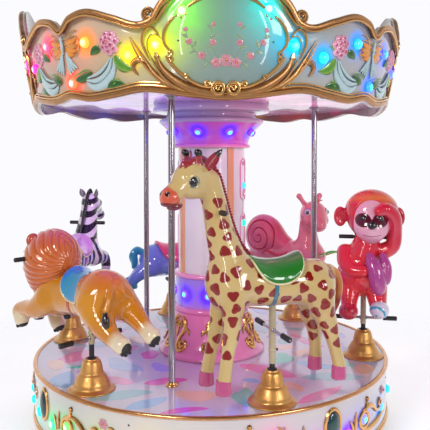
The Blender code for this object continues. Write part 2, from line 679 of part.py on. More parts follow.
def make_post(name, place, figure, material, tube_bottom, tube_top, footrest):
    """Sliding rod and tube with the footrest across it, and its socket in the animal."""
    profile = [(ROD_RADIUS, ROD_BOTTOM), (ROD_RADIUS, tube_bottom), (TUBE_RADIUS, tube_bottom + 0.002),
               (TUBE_RADIUS, tube_top)]
    post = add_object(f"{name}_post", turned(f"{name}_post", profile, SMALL_SIDES), material,
                      parent=place)
    bar = add_tool(f"{name}_footrest", crossbar_mesh(f"{name}_footrest", 0.200, 0.080, 0.008, 0.0145),
                   place)
    bar.location.z = footrest
    combine(post, bar, "UNION")
    hole = TUBE_RADIUS + GAP
    socket = turned(f"{name}_socket", [(hole, 0.0), (hole, tube_top + GAP)], SMALL_SIDES)
    combine(figure, add_tool(f"{name}_socket", socket, place), "DIFFERENCE")


def make_animals(places, colours):
    black = colours["black"]
    steel = colours["cream tube"]
    gold = colours["gold"]
    for name, place in places.items():
        make_bell(name, place, gold)

    place = places["giraffe"]
    figure = make_figure("giraffe", place, giraffe_shape(), 560, colours["giraffe yellow"])
    make_saddle("giraffe", place, figure, colours["green"], middle=(0.0, 0.596),
                half_length=0.145, radius=0.106, rise=0.036, half_angle=82.0)
    make_handle("giraffe", place, figure, black, 0.292, 0.962, 0.120)
    make_post("giraffe", place, figure, steel, 0.218, 0.560, 0.365)

    place = places["lion"]
    figure = make_figure("lion", place, lion_shape(), 560, colours["lion orange"])
    make_saddle("lion", place, figure, colours["blue"], middle=(0.045, 0.490),
                half_length=0.125, radius=0.106, rise=0.030, half_angle=96.0)
    make_handle("lion", place, figure, black, 0.385, 0.668, 0.215)
    make_post("lion", place, figure, steel, 0.253, 0.450, 0.272)

    place = places["zebra"]
    figure = make_figure("zebra", place, zebra_shape(), 520, colours["zebra white"])
    make_saddle("zebra", place, figure, colours["pink"], middle=(-0.005, 0.552),
                half_length=0.130, radius=0.098, rise=0.036, half_angle=85.0)
    make_handle("zebra", place, figure, black, 0.262, 0.760, 0.130)
    make_post("zebra", place, figure, steel, 0.235, 0.520, 0.330)

    place = places["pony"]
    figure = make_figure("pony", place, pony_shape(), 500, colours["pony blue"])
    make_saddle("pony", place, figure, colours["pink"], middle=(-0.010, 0.416),
                half_length=0.130, radius=0.112, rise=0.032, half_angle=85.0)
    make_handle("pony", place, figure, black, 0.262, 0.628, 0.130)
    make_post("pony", place, figure, steel, 0.200, 0.380, 0.232)

    place = places["monkey"]
    figure = make_figure("monkey", place, monkey_shape(), 520, colours["monkey red"])
    make_handle("monkey", place, figure, black, 0.000, 0.735, 0.150)
    make_post("monkey", place, figure, steel, 0.215, 0.460, 0.238)

    place = places["snail"]
    figure = make_figure("snail", place, snail_shape(), 440, colours["snail pink"])
    make_post("snail", place, figure, steel, 0.225, 0.500, 0.330)


def make_carousel():
    clear_scene()
    steel = make_material("frame steel", (0.20, 0.21, 0.23), 0.50, 0.8)
    deck_white = make_material("deck white", (0.80, 0.76, 0.85), 0.12)
    cream = make_material("cream gloss", (0.88, 0.84, 0.72), 0.20)
    white = make_material("white gloss", (0.90, 0.86, 0.90), 0.15)
    pink = make_material("pink gloss", (0.86, 0.42, 0.62), 0.20)
    gold = make_material("gold", (0.72, 0.42, 0.13), 0.28, 0.9)
    chrome = make_material("chrome", (0.78, 0.78, 0.80), 0.10, 1.0)
    colours = {
        "gold": gold,
        "black": make_material("black rubber", (0.02, 0.02, 0.02), 0.6),
        "cream tube": make_material("cream tube", (0.80, 0.74, 0.55), 0.35),
        "green": make_material("green gloss", (0.05, 0.35, 0.10), 0.2),
        "blue": make_material("blue gloss", (0.10, 0.40, 0.70), 0.2),
        "pink": make_material("saddle pink", (0.85, 0.20, 0.45), 0.2),
        "giraffe yellow": make_material("giraffe yellow", (0.85, 0.72, 0.38), 0.2),
        "lion orange": make_material("lion orange", (0.85, 0.45, 0.10), 0.2),
        "zebra white": make_material("zebra white", (0.85, 0.75, 0.85), 0.2),
        "pony blue": make_material("pony blue", (0.25, 0.45, 0.85), 0.2),
        "monkey red": make_material("monkey red", (0.75, 0.06, 0.10), 0.2),
        "snail pink": make_material("snail pink", (0.90, 0.35, 0.42), 0.2),
    }
    places = {}
    for i, name in enumerate(("giraffe", "monkey", "snail", "pony", "zebra", "lion")):
        bearing = GIRAFFE_BEARING + i * PLACE_STEP
        spot = at_bearing(ANIMAL_CIRCLE, bearing, DECK_TOP)
        places[name] = add_empty(f"{name}_place", spot, math.radians(bearing + 180.0))
    make_base(steel)
    make_turntable(steel, deck_white, gold, cream, places)
    make_column(pink, white)
    make_canopy(cream, white, gold)
    make_poles(chrome)
    make_animals(places, colours)


make_carousel()
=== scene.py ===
"""Looks of a small fairground carousel: finishes, lamps, relief ornament and the finer animals.

Metres, +Z up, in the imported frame. The turntable turns about x = y = 0. A bearing is an angle
in degrees from the front (-Y), positive towards +X. Heights are above the deck, unless a name
says floor.
"""
import json
import math
import random

import bmesh
import bpy
import numpy as np
from mathutils import Matrix, Vector

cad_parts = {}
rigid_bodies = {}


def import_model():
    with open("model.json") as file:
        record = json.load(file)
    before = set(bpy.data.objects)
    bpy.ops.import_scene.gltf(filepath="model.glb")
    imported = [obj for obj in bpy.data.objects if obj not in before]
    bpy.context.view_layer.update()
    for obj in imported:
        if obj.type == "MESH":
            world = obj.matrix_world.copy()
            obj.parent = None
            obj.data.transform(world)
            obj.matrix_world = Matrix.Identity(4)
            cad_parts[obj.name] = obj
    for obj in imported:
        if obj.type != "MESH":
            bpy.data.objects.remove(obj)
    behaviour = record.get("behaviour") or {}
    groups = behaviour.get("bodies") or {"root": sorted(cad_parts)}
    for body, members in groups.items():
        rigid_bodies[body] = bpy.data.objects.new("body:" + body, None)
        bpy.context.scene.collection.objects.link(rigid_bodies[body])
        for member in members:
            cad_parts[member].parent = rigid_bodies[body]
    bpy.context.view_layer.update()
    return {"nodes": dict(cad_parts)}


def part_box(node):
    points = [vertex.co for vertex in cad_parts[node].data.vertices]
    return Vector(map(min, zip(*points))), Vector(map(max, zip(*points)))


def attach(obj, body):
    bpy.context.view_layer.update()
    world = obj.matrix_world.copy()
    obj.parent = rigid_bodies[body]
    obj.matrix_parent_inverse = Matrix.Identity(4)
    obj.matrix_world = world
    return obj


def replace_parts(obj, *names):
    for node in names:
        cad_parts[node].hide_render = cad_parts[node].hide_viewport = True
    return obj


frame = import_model()
nodes = frame["nodes"]

# Levels and radii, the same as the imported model's
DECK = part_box("deck")[1].z
DECK_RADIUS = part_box("deck")[1].x
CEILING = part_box("canopy_ceiling")[0].z - DECK
SKIRT_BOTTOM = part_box("skirt_1")[0].z - DECK
SKIRT_RADIUS = 1.092
CREST_BEARING = 3.5
UNITS = 4
ANIMAL_CIRCLE = 0.954
PLACES = {"giraffe": 18.5, "monkey": 78.5, "snail": 138.5, "pony": 198.5, "zebra": 258.5, "lion": 318.5}


class Finish:
    """A material and its nodes, which are added and joined one call at a time."""

    def __init__(self, name, roughness=0.3, metallic=0.0, coat=0.0):
        self.material = bpy.data.materials.new(name)
        self.material.use_nodes = True
        self.tree = self.material.node_tree
        self.shader = self.tree.nodes["Principled BSDF"]
        self.shader.inputs["Roughness"].default_value = roughness
        self.shader.inputs["Metallic"].default_value = metallic
        self.shader.inputs["Coat Weight"].default_value = coat
        self.shader.inputs["Coat Roughness"].default_value = 0.04
        self.here = self.add("TexCoord").outputs["Object"]

    def add(self, kind, inputs=None, **settings):
        made = self.tree.nodes.new("ShaderNode" + kind)
        for key, value in settings.items():
            setattr(made, key, value)
        for key, value in (inputs or {}).items():
            self.feed(made.inputs[key], value)
        return made

    def feed(self, socket, value):
        if isinstance(value, bpy.types.NodeSocket):
            self.tree.links.new(value, socket)
        elif socket.type == "RGBA" and len(value) == 3:
            socket.default_value = (*value, 1.0)
        else:
            socket.default_value = value

    def noise(self, scale, detail=3.0, stretch=(1.0, 1.0, 1.0), roughness=0.5):
        where = self.add("Mapping", {"Vector": self.here, "Scale": stretch}).outputs[0]
        made = self.add("TexNoise", {"Vector": where, "Scale": scale, "Detail": detail,
                                     "Roughness": roughness})
        return made.outputs["Fac"]

    def attribute(self, name, output="Fac"):
        return self.add("Attribute", attribute_name=name).outputs[output]

    def maths(self, operation, a, b=0.0):
        made = self.add("Math", operation=operation)
        self.feed(made.inputs[0], a)
        self.feed(made.inputs[1], b)
        return made.outputs[0]

    def span(self, value, low, high, to_low=0.0, to_high=1.0):
        """value carried from one range to another, held at its ends."""
        made = self.add("MapRange", {"Value": value, "From Min": low, "From Max": high,
                                     "To Min": to_low, "To Max": to_high})
        return made.outputs["Result"]

    def mix(self, share, first, second, blend="MIX"):
        made = self.add("Mix", data_type="RGBA", blend_type=blend)
        self.feed(made.inputs[0], share)
        self.feed(made.inputs[6], first)
        self.feed(made.inputs[7], second)
        return made.outputs[2]

    def colour(self, value):
        self.feed(self.shader.inputs["Base Color"], value)

    def rough(self, value):
        self.feed(self.shader.inputs["Roughness"], value)

    def bump(self, height, strength, distance=0.002):
        made = self.add("Bump", {"Height": height, "Strength": strength, "Distance": distance})
        self.feed(self.shader.inputs["Normal"], made.outputs[0])

    def glow(self, colour, strength):
        self.feed(self.shader.inputs["Emission Color"], colour)
        self.shader.inputs["Emission Strength"].default_value = strength


def gel_coat(name, colour, second, roughness=0.16, clouds=2.2, layers=(), glow=0.0, relief=0.04):
    """Painted fibreglass: two close tones in clouds, faint ripples, a clear coat over all.

    Each layer is (attribute, colour, softness): its paint covers where the attribute is
    above zero. With glow, the light that lamps throw on it is read from "spill".
    """
    finish = Finish(name, roughness, coat=0.7)
    cloud = finish.span(finish.noise(clouds), 0.35, 0.65)
    paint = finish.mix(cloud, colour, second)
    for attribute, over, softness in layers:
        share = finish.span(finish.attribute(attribute), -softness, softness)
        paint = finish.mix(share, paint, over)
    if glow:
        spill = finish.attribute("spill", "Color")
        brightness = finish.attribute("spill_share")
        paint = finish.mix(brightness, paint, spill)
        finish.glow(finish.mix(brightness, (0.0, 0.0, 0.0), spill), glow)
    finish.colour(paint)
    finish.rough(finish.span(finish.noise(9.0, 4.0), 0.3, 0.7, roughness * 0.7, roughness * 1.5))
    finish.bump(finish.noise(38.0, 2.0), relief)
    return finish.material


def shaded_antique_gold(name, bright, dark, roughness=0.22):
    """Gold paint that turns brown where tone nears 1, at the foot of each moulding and the rim of each boss: partly
    a brown glazing left in the hollows, partly painted shade.
    """
    finish = Finish(name, roughness, metallic=0.92, coat=0.35)
    mottle = finish.span(finish.noise(24.0, 4.0), 0.3, 0.75)
    # Brown glazing together with painted shade, strongest where tone nears 1
    glaze_and_shade = finish.maths("ADD", finish.attribute("tone"), finish.maths("MULTIPLY", mottle, 0.35))
    finish.colour(finish.mix(finish.span(glaze_and_shade, 0.25, 1.1), bright, dark))
    finish.rough(finish.span(mottle, 0.0, 1.0, roughness * 0.75, roughness * 1.45))
    finish.bump(finish.noise(55.0, 3.0), 0.12)
    return finish.material


def toned_gloss(name, base, edge, roughness=0.2):
    """Gloss paint that runs from one colour to another as tone goes from 0 to 1 across the round of each piece:
    partly the piece's own two-tone paint, partly painted highlight and shade.
    """
    finish = Finish(name, roughness, coat=0.6)
    tone = finish.maths("ADD", finish.attribute("tone"),
                        finish.span(finish.noise(40.0), 0.3, 0.7, -0.15, 0.15))
    finish.colour(finish.mix(finish.span(tone, 0.1, 0.95), base, edge))
    finish.rough(finish.span(finish.noise(15.0), 0.3, 0.7, roughness * 0.7, roughness * 1.4))
    finish.bump(finish.noise(60.0, 2.0), 0.06)
    return finish.material


def lamp_glass():
    """A lit lamp: a near-white heart and a saturated rim."""
    finish = Finish("lamp_light", 0.25, coat=0.5)
    heart = finish.span(finish.attribute("tone"), 0.05, 0.75)
    light = finish.mix(heart, finish.attribute("core", "Color"), finish.attribute("halo", "Color"))
    finish.colour(light)
    finish.glow(light, 2.6)
    finish.bump(finish.noise(70.0, 1.0), 0.05)
    return finish.material


def brushed_steel():
    finish = Finish("pole_steel", 0.16, metallic=1.0)
    streak = finish.noise(30.0, 4.0, stretch=(6.0, 6.0, 0.15))
    finish.colour(finish.mix(streak, (0.34, 0.30, 0.35), (0.52, 0.48, 0.54)))
    finish.rough(finish.span(streak, 0.3, 0.7, 0.10, 0.22))
    finish.bump(streak, 0.03)
    return finish.material


def frame_paint():
    finish = Finish("frame_paint", 0.5, metallic=0.3)
    wear = finish.span(finish.noise(14.0, 6.0, roughness=0.7), 0.55, 0.75)
    finish.colour(finish.mix(wear, (0.10, 0.11, 0.13), (0.24, 0.23, 0.22)))
    finish.rough(finish.span(finish.noise(30.0, 4.0), 0.3, 0.7, 0.35, 0.65))
    finish.bump(finish.noise(90.0, 3.0), 0.15)
    return finish.material


def rubber():
    finish = Finish("grip_rubber", 0.55)
    dust = finish.span(finish.noise(25.0, 4.0), 0.4, 0.8)
    finish.colour(finish.mix(dust, (0.012, 0.011, 0.013), (0.035, 0.032, 0.035)))
    finish.rough(finish.span(dust, 0.0, 1.0, 0.42, 0.65))
    finish.bump(finish.noise(140.0, 2.0), 0.2)
    return finish.material


def mesh_object(name, points, faces, material, body="turntable", slot=None, sharp=38.0, **values):
    """An object from points and faces, riding on a body. values are its per-point attributes."""
    mesh = bpy.data.meshes.new(name)
    mesh.from_pydata([tuple(map(float, p)) for p in points], [], [tuple(map(int, f)) for f in faces])
    for key, value in values.items():
        value = np.asarray(value, np.float32)
        if value.ndim == 1:
            mesh.attributes.new(key, "FLOAT", "POINT").data.foreach_set("value", value)
        else:
            rgba = np.ones((len(value), 4), np.float32)
            rgba[:, :3] = value
            mesh.attributes.new(key, "FLOAT_COLOR", "POINT").data.foreach_set("color", rgba.ravel())
    bm = bmesh.new()
    bm.from_mesh(mesh)
    bmesh.ops.recalc_face_normals(bm, faces=bm.faces)
    bm.to_mesh(mesh)
    bm.free()
    mesh.shade_smooth()
    mesh.set_sharp_from_angle(angle=math.radians(sharp))
    mesh.materials.append(material)
    obj = bpy.data.objects.new(name, mesh)
    bpy.context.scene.collection.objects.link(obj)
    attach(obj, body)
    return obj


def at_bearing(radius, bearing, height=0.0):
    """A point, or arrays of them, from the axis; height is above the deck."""
    angle = np.radians(bearing)
    return np.stack(np.broadcast_arrays(radius * np.sin(angle), -radius * np.cos(angle),
                                        DECK + height), axis=-1)


def smooth_path(points, samples):
    """Points along a smooth curve through the given ones, evenly shared between them."""
    points = np.array(points, float)
    padded = np.vstack([2 * points[0] - points[1], points, 2 * points[-1] - points[-2]])
    out = []
    for s in np.linspace(0, len(points) - 1, samples):
        i = min(int(s), len(points) - 2)
        t = s - i
        a, b, c, d = padded[i:i + 4]
        out.append(0.5 * ((2 * b) + (c - a) * t + (2 * a - 5 * b + 4 * c - d) * t ** 2
                          + (3 * b - a - 3 * c + d) * t ** 3))
    return np.array(out)


def rounded(points, times=2):
    """A profile with its corners cut, its two ends kept."""
    points = np.array(points, float)
    for _ in range(times):
        near = 0.75 * points[:-1] + 0.25 * points[1:]
        far = 0.25 * points[:-1] + 0.75 * points[1:]
        middle = np.empty((2 * len(near), points.shape[1]))
        middle[0::2] = near
        middle[1::2] = far
        points = np.vstack([points[:1], middle[1:-1], points[-1:]])
    return points


def grid_faces(rows, columns, closed_rows=False, closed_columns=True):
    """Quads of a grid of points, row by row."""
    faces = []
    for r in range(rows if closed_rows else rows - 1):
        for c in range(columns if closed_columns else columns - 1):
            r2 = (r + 1) % rows
            c2 = (c + 1) % columns
            faces.append((r * columns + c, r * columns + c2, r2 * columns + c2, r2 * columns + c))
    return faces


def turned(name, profile, material, sides=96, loop=False, place=(0.0, 0.0), base=None, tone=None,
           **options):
    """A profile of (radius, height above the deck) turned about an upright axis."""
    profile = np.array(profile, float)
    turn = 2.0 * math.pi * np.arange(sides) / sides
    level = DECK if base is None else base
    rings = [np.stack([place[0] + r * np.cos(turn), place[1] + r * np.sin(turn),
                       np.full(sides, level + z)], axis=-1) for r, z in profile]
    points = np.concatenate(rings)
    faces = grid_faces(len(profile), sides, closed_rows=loop)
    if not loop:
        faces.append(tuple(range(sides)))
        faces.append(tuple(range(len(points) - sides, len(points))))
    if tone is not None:
        options["tone"] = np.repeat(np.array(tone, float), sides)
    return mesh_object(name, points, faces, material, **options)


class Relief:
    """Raised work drawn flat as (across, up, out), then wrapped round the carousel.

    Every shape is closed, and goes to the sheet of its finish. tone is 0 to 1 at each point; the finishes read it
    for two-tone paint and for painted highlight and shade.
    """

    SIDES = 8

    def __init__(self):
        self.sheets = {}
        self.flip = 1.0

    def loft(self, finish, rings, tones=None, closed=False):
        points, faces, tone = self.sheets.setdefault(finish, ([], [], []))
        first = len(points)
        count = len(rings[0])
        for i, ring in enumerate(rings):
            points.extend((self.flip * x, y, z) for x, y, z in ring)
            tone.extend(np.broadcast_to(0.0 if tones is None else tones[i], count))
        faces.extend(tuple(first + i for i in face)
                     for face in grid_faces(len(rings), count, closed_rows=closed))
        if not closed:
            faces.append(tuple(range(first, first + count)))
            faces.append(tuple(range(first + (len(rings) - 1) * count, first + len(rings) * count)))

    def stroke(self, finish, points, depth=0.8, lift=0.0, samples=None, closed=False, sides=None):
        """A round moulding along (across, up, radius) points, low at its sides."""
        sides = sides or self.SIDES
        points = [tuple(p) + (0.0,) * (4 - len(p)) for p in points]
        if closed:
            path = np.array(points, float)
        else:
            path = smooth_path(points, samples or 5 * (len(points) - 1) + 1)
        along = np.gradient(path[:, :2], axis=0)
        if closed:
            along = np.roll(path[:, :2], -1, axis=0) - np.roll(path[:, :2], 1, axis=0)
        along /= np.maximum(np.linalg.norm(along, axis=1), 1e-9)[:, None]
        turn = 2.0 * math.pi * np.arange(sides) / sides
        rings = []
        for (x, y, r, out), (dx, dy) in zip(path, along):
            r = max(r, 0.0004)
            side = r * np.cos(turn)
            rings.append(np.stack([x - dy * side, y + dx * side,
                                   lift + out + r * depth * np.sin(turn)], axis=-1))
        # tone: 0 on the crest of the moulding, 1 at its foot against the surface, read by the finishes for painted
        # highlight and shade
        self.loft(finish, rings, [0.5 - 0.5 * np.sin(turn)] * len(rings), closed)

    def leaf(self, finish, base, tip, width, bow=0.0, lift=0.003, lobes=0, rise=0.30, samples=14):
        """A leaf or petal from base to tip, bowed sideways, with a sunken midrib."""
        base = np.array(base, float)
        along = np.array(tip, float) - base
        aside = np.array([-along[1], along[0]])
        turn = 2.0 * math.pi * np.arange(12) / 12
        rings = []
        tones = []
        for t in np.linspace(0.02, 0.99, samples):
            centre = base + along * t + aside * bow * 4.0 * t * (1.0 - t)
            slope = along + aside * bow * 4.0 * (1.0 - 2.0 * t)
            slope /= np.linalg.norm(slope)
            half = 0.5 * width * math.sin(math.pi * t ** 0.75) ** 0.8 + 0.0004
            if lobes:
                half *= 1.0 - 0.30 * abs(math.sin(math.pi * lobes * t))
            side = half * np.cos(turn)
            top = np.sin(turn) * half * 2.0 * rise
            top = np.where(top > 0.0, top * (0.55 + 0.6 * np.abs(np.cos(turn))), top * 0.3)
            rings.append(np.stack([centre[0] - slope[1] * side, centre[1] + slope[0] * side,
                                   lift + top], axis=-1))
            tones.append(np.abs(np.cos(turn)) ** 1.5)
        self.loft(finish, rings, tones)

    def dome(self, finish, centre, radius, height, lift=0.0, steps=6, stretch=1.0, sides=20):
        """A boss or cabochon; its tone runs from 0 at the crown to 1 at the rim."""
        turn = 2.0 * math.pi * np.arange(sides) / sides
        rings = []
        tones = []
        for i in range(steps + 1):
            a = 0.5 * math.pi * i / steps
            r = radius * max(math.cos(a), 0.03)
            rings.append(np.stack([centre[0] + r * np.cos(turn),
                                   centre[1] + stretch * r * np.sin(turn),
                                   np.full(sides, lift + height * math.sin(a))], axis=-1))
            tones.append(np.full(sides, math.cos(a)))
        base = rings[0].copy()
        base[:, 2] -= 0.004
        self.loft(finish, [base, *rings], [tones[0], *tones])

    def ring(self, finish, centre, radius, thick, lift=0.0, stretch=1.0, start=0.0, sweep=360.0,
             depth=0.8):
        """A moulding round an oval, or an arc of it."""
        whole = sweep >= 360.0
        steps = max(8, int(abs(sweep) / 12.0))
        angles = np.radians(start + sweep * np.arange(steps + (0 if whole else 1)) / steps)
        points = [(centre[0] + radius * math.cos(a), centre[1] + stretch * radius * math.sin(a), thick)
                  for a in angles]
        self.stroke(finish, points, depth, lift, samples=len(points), closed=whole)

    def volute(self, finish, centre, radius, thick, start, turns, lift=0.004, inner=0.25, eye=True):
        """A scroll that winds in to its eye; turns is negative for clockwise."""
        steps = max(8, int(abs(turns) * 20))
        points = []
        for i in range(steps + 1):
            t = i / steps
            a = math.radians(start) + 2.0 * math.pi * turns * t
            r = radius * (1.0 - (1.0 - inner) * t)
            points.append((centre[0] + r * math.cos(a), centre[1] + r * math.sin(a),
                           thick * (1.0 - 0.35 * t), 0.006 * t))
        self.stroke(finish, points, 0.9, lift, samples=len(points))
        if eye:
            self.dome(finish, centre, radius * inner * 0.9, thick * 1.2, lift + 0.004)

    def blossom(self, petal, heart, centre, radius, petals=5, layers=3, lift=0.004, turn=0.0):
        """Rings of petals, each smaller and higher than the last, round a bead."""
        for layer in range(layers):
            reach = radius * (1.0 - 0.27 * layer)
            for i in range(petals):
                a = turn + 2.0 * math.pi * (i + 0.5 * layer) / petals
                out = np.array([math.cos(a), math.sin(a)])
                base = np.array(centre) + out * reach * 0.12
                self.leaf(petal, base, np.array(centre) + out * reach,
                          reach * 4.3 / petals, lift=lift + 0.004 * layer, rise=0.20, samples=8)
        self.dome(heart, centre, radius * 0.16, radius * 0.14, lift + 0.004 * layers)

    def objects(self, name, finishes, wrap, turns=(0.0,), **options):
        """One object for each finish used, wrapped and repeated at each turn of the axis."""
        made = []
        for finish, (points, faces, tone) in self.sheets.items():
            flat = np.array(points, float)
            placed = wrap(flat[:, 0], flat[:, 1], flat[:, 2])
            all_points = []
            all_faces = []
            for turn in turns:
                a = math.radians(turn)
                spin = np.array([[math.cos(a), math.sin(a), 0.0], [-math.sin(a), math.cos(a), 0.0],
                                 [0.0, 0.0, 1.0]])
                shift = len(all_points) * len(flat)
                all_points.append(placed @ spin)
                all_faces.extend(tuple(i + shift for i in face) for face in faces)
            made.append(mesh_object(f"{name}_{finish}", np.concatenate(all_points), all_faces,
                                    finishes[finish], tone=np.tile(tone, len(turns)), **options))
        return made


# Paints and metals shared by many pieces
FIELD = gel_coat("fascia_field", (0.46, 0.40, 0.29), (0.54, 0.47, 0.36), glow=0.75,
                 layers=[("inner", (0.17, 0.12, 0.09), 0.3)])
SKIRT_PAINT = gel_coat("skirt_cream", (0.70, 0.66, 0.62), (0.62, 0.58, 0.60), glow=0.5)
BAND_PAINT = gel_coat("light_band", (0.50, 0.26, 0.66), (0.30, 0.26, 0.74), glow=0.7)
CAPITAL_PAINT = gel_coat("capital_pink", (0.78, 0.10, 0.42), (0.56, 0.16, 0.62), glow=0.8)
PINK = gel_coat("column_pink", (0.76, 0.22, 0.46), (0.80, 0.32, 0.56))
WHITE = gel_coat("column_white", (0.78, 0.74, 0.76), (0.70, 0.66, 0.74))
SALMON = gel_coat("pilaster_salmon", (0.70, 0.30, 0.14), (0.72, 0.36, 0.20))
GOLD = shaded_antique_gold("gold_trim", (0.86, 0.47, 0.16), (0.26, 0.11, 0.035))
COPPER = shaded_antique_gold("copper_trim", (0.52, 0.25, 0.09), (0.13, 0.055, 0.02), 0.32)
STEEL = brushed_steel()
BASE_PAINT = frame_paint()
RUBBER = rubber()
LAMP_GLASS = lamp_glass()

FINISHES = {
    "gold": GOLD,
    "copper": COPPER,
    # Rose petals dark at the crown and pale at the rim: a painted highlight on each petal's edge
    "rose": toned_gloss("rose_petal", (0.42, 0.025, 0.12), (0.88, 0.46, 0.60)),
    "blush": toned_gloss("blush_petal", (0.62, 0.20, 0.28), (0.72, 0.42, 0.46)),
    # Flower hearts bright on the crown and dark at the rim: painted highlight and shade
    "heart": toned_gloss("flower_heart", (0.85, 0.45, 0.10), (0.55, 0.16, 0.06)),
    "dark_leaf": toned_gloss("dark_leaf", (0.02, 0.10, 0.02), (0.10, 0.24, 0.05)),
    "bright_leaf": toned_gloss("bright_leaf", (0.09, 0.30, 0.03), (0.34, 0.50, 0.07)),
    "sage": toned_gloss("sage_leaf", (0.22, 0.33, 0.20), (0.38, 0.44, 0.30)),
    # Silver ribbons pale on the crest and dark down the sides and at the foot: painted highlight and shade
    "silver": toned_gloss("silver_ribbon", (0.48, 0.64, 0.68), (0.10, 0.19, 0.21), 0.12),
    "orange": toned_gloss("orange_wing", (0.86, 0.30, 0.03), (0.55, 0.16, 0.02)),
    "pink": PINK,
    "emerald": toned_gloss("dark_gem", (0.005, 0.075, 0.06), (0.01, 0.03, 0.05), 0.05),
    "screw": toned_gloss("screw_dot", (0.03, 0.03, 0.03), (0.10, 0.10, 0.10), 0.4),
}


class Lamp:
    """A lamp's place in the world and its two colours."""

    def __init__(self, place, outward, radius, core, halo):
        self.place = np.array(place, float)
        self.outward = np.array(outward, float)
        self.radius = radius
        self.core = core
        self.halo = halo


def between(stops, at):
    """Colours read from (place, core, halo) stops."""
    places = [s[0] for s in stops]
    return [tuple(np.interp(at, places, [s[k][c] for s in stops]) for c in range(3)) for k in (1, 2)]


# Lamp hues by bearing; they run twice round the canopy
CANOPY_HUES = (
    (-90.0, (1.0, 0.35, 0.85), (1.0, 0.02, 0.42)),
    (-60.0, (1.0, 0.45, 0.80), (1.0, 0.02, 0.25)),
    (-42.0, (1.0, 0.55, 0.70), (1.0, 0.06, 0.04)),
    (-34.0, (1.0, 0.72, 0.30), (1.0, 0.20, 0.03)),
    (-21.0, (1.0, 0.95, 0.15), (1.0, 0.60, 0.02)),
    (-13.0, (0.95, 1.0, 0.30), (0.70, 0.85, 0.02)),
    (-6.0, (0.80, 1.0, 0.55), (0.08, 0.80, 0.06)),
    (12.0, (0.55, 1.0, 0.95), (0.0, 0.72, 0.55)),
    (22.0, (0.02, 0.85, 1.0), (0.0, 0.42, 0.85)),
    (50.0, (0.02, 0.75, 1.0), (0.02, 0.16, 0.95)),
    (75.0, (0.10, 0.62, 1.0), (0.10, 0.08, 0.95)),
    (90.0, (1.0, 0.35, 0.85), (1.0, 0.02, 0.42)),
)
SKIRT_HUES = (
    (-90.0, (0.10, 0.70, 1.0), (0.0, 0.30, 0.90)),
    (-66.0, (0.30, 0.95, 0.90), (0.0, 0.60, 0.55)),
    (-50.0, (0.80, 1.0, 0.85), (0.02, 0.72, 0.18)),
    (-41.0, (0.35, 1.0, 0.25), (0.10, 0.60, 0.06)),
    (-10.0, (1.0, 0.95, 0.25), (0.95, 0.55, 0.02)),
    (15.0, (1.0, 0.45, 0.80), (1.0, 0.02, 0.45)),
    (38.0, (0.05, 0.85, 1.0), (0.22, 0.02, 0.90)),
    (55.0, (0.05, 0.80, 1.0), (0.02, 0.22, 0.95)),
    (90.0, (0.10, 0.70, 1.0), (0.0, 0.30, 0.90)),
)
COLUMN_LIGHT = ((0.06, 0.85, 1.0), (0.10, 0.02, 0.95))


def ring_lamp(radius, bearing, height, size, hues, lean=0.0):
    """A lamp on a round surface; lean tips it downwards, in degrees."""
    around = (bearing + 90.0) % 180.0 - 90.0
    core, halo = between(hues, around) if isinstance(hues[0][0], float) and len(hues) > 2 else hues
    outward = at_bearing(math.cos(math.radians(lean)), bearing) - np.array([0.0, 0.0, DECK])
    outward[2] = -math.sin(math.radians(lean))
    return Lamp(at_bearing(radius, bearing, height), outward, size, core, halo)


def add_lamps(name, lamps, collar=True):
    """Glass domes that glow, each in a thin gold collar."""
    sides = 20
    steps = 7
    turn = 2.0 * math.pi * np.arange(sides) / sides
    glass = ([], [], [], [], [])
    rims = ([], [], [])
    for lamp in lamps:
        side = np.cross((0.0, 0.0, 1.0), lamp.outward)
        side /= np.linalg.norm(side)
        up = np.cross(lamp.outward, side)

        def circle(radius, out):
            return (lamp.place + lamp.outward * out + radius
                    * (np.cos(turn)[:, None] * side + np.sin(turn)[:, None] * up))

        points, faces, tone, core, halo = glass
        first = len(points)
        points.extend(circle(lamp.radius, -0.004))
        tone.extend([1.0] * sides)
        for i in range(steps):
            a = 0.5 * math.pi * i / (steps - 1)
            points.extend(circle(lamp.radius * max(math.cos(a), 0.03), 0.72 * lamp.radius * math.sin(a)))
            tone.extend([math.cos(a)] * sides)
        faces.extend(tuple(first + i for i in face) for face in grid_faces(steps + 1, sides))
        faces.append(tuple(range(first, first + sides)))
        faces.append(tuple(range(first + steps * sides, first + (steps + 1) * sides)))
        core.extend([lamp.core] * (sides * (steps + 1)))
        halo.extend([lamp.halo] * (sides * (steps + 1)))
        if not collar:
            continue
        points, faces, tone = rims
        first = len(points)
        section = ((1.0, -0.002), (1.24, -0.002), (1.22, 0.12), (1.10, 0.20), (1.0, 0.14))
        for radius, out in section:
            points.extend(circle(lamp.radius * radius, lamp.radius * out))
            tone.extend([0.25] * sides)
        faces.extend(tuple(first + i for i in face)
                     for face in grid_faces(len(section), sides, closed_rows=True))
    mesh_object(name, glass[0], glass[1], LAMP_GLASS, tone=glass[2], core=glass[3], halo=glass[4])
    if collar:
        mesh_object(f"{name}_collars", *rims[:2], GOLD, tone=rims[2], slot="gold_trim")


def spill_on(points, lamps, reach=0.062, wide=0.125, share_wide=0.20):
    """The light of nearby lamps on paint: a colour and a share at each point."""
    points = np.asarray(points, float)
    total = np.zeros((len(points), 3))
    weight = np.zeros(len(points))
    for lamp in lamps:
        gap = np.linalg.norm(points - lamp.place, axis=1)
        near = np.exp(-(gap / reach) ** 4) + share_wide * np.exp(-(gap / wide) ** 2)
        total += near[:, None] * np.array(lamp.halo)
        weight += near
    colour = total / np.maximum(weight, 1e-6)[:, None]
    return {"spill": np.clip(colour, 0.0, 1.0), "spill_share": np.clip(weight, 0.0, 1.0)}


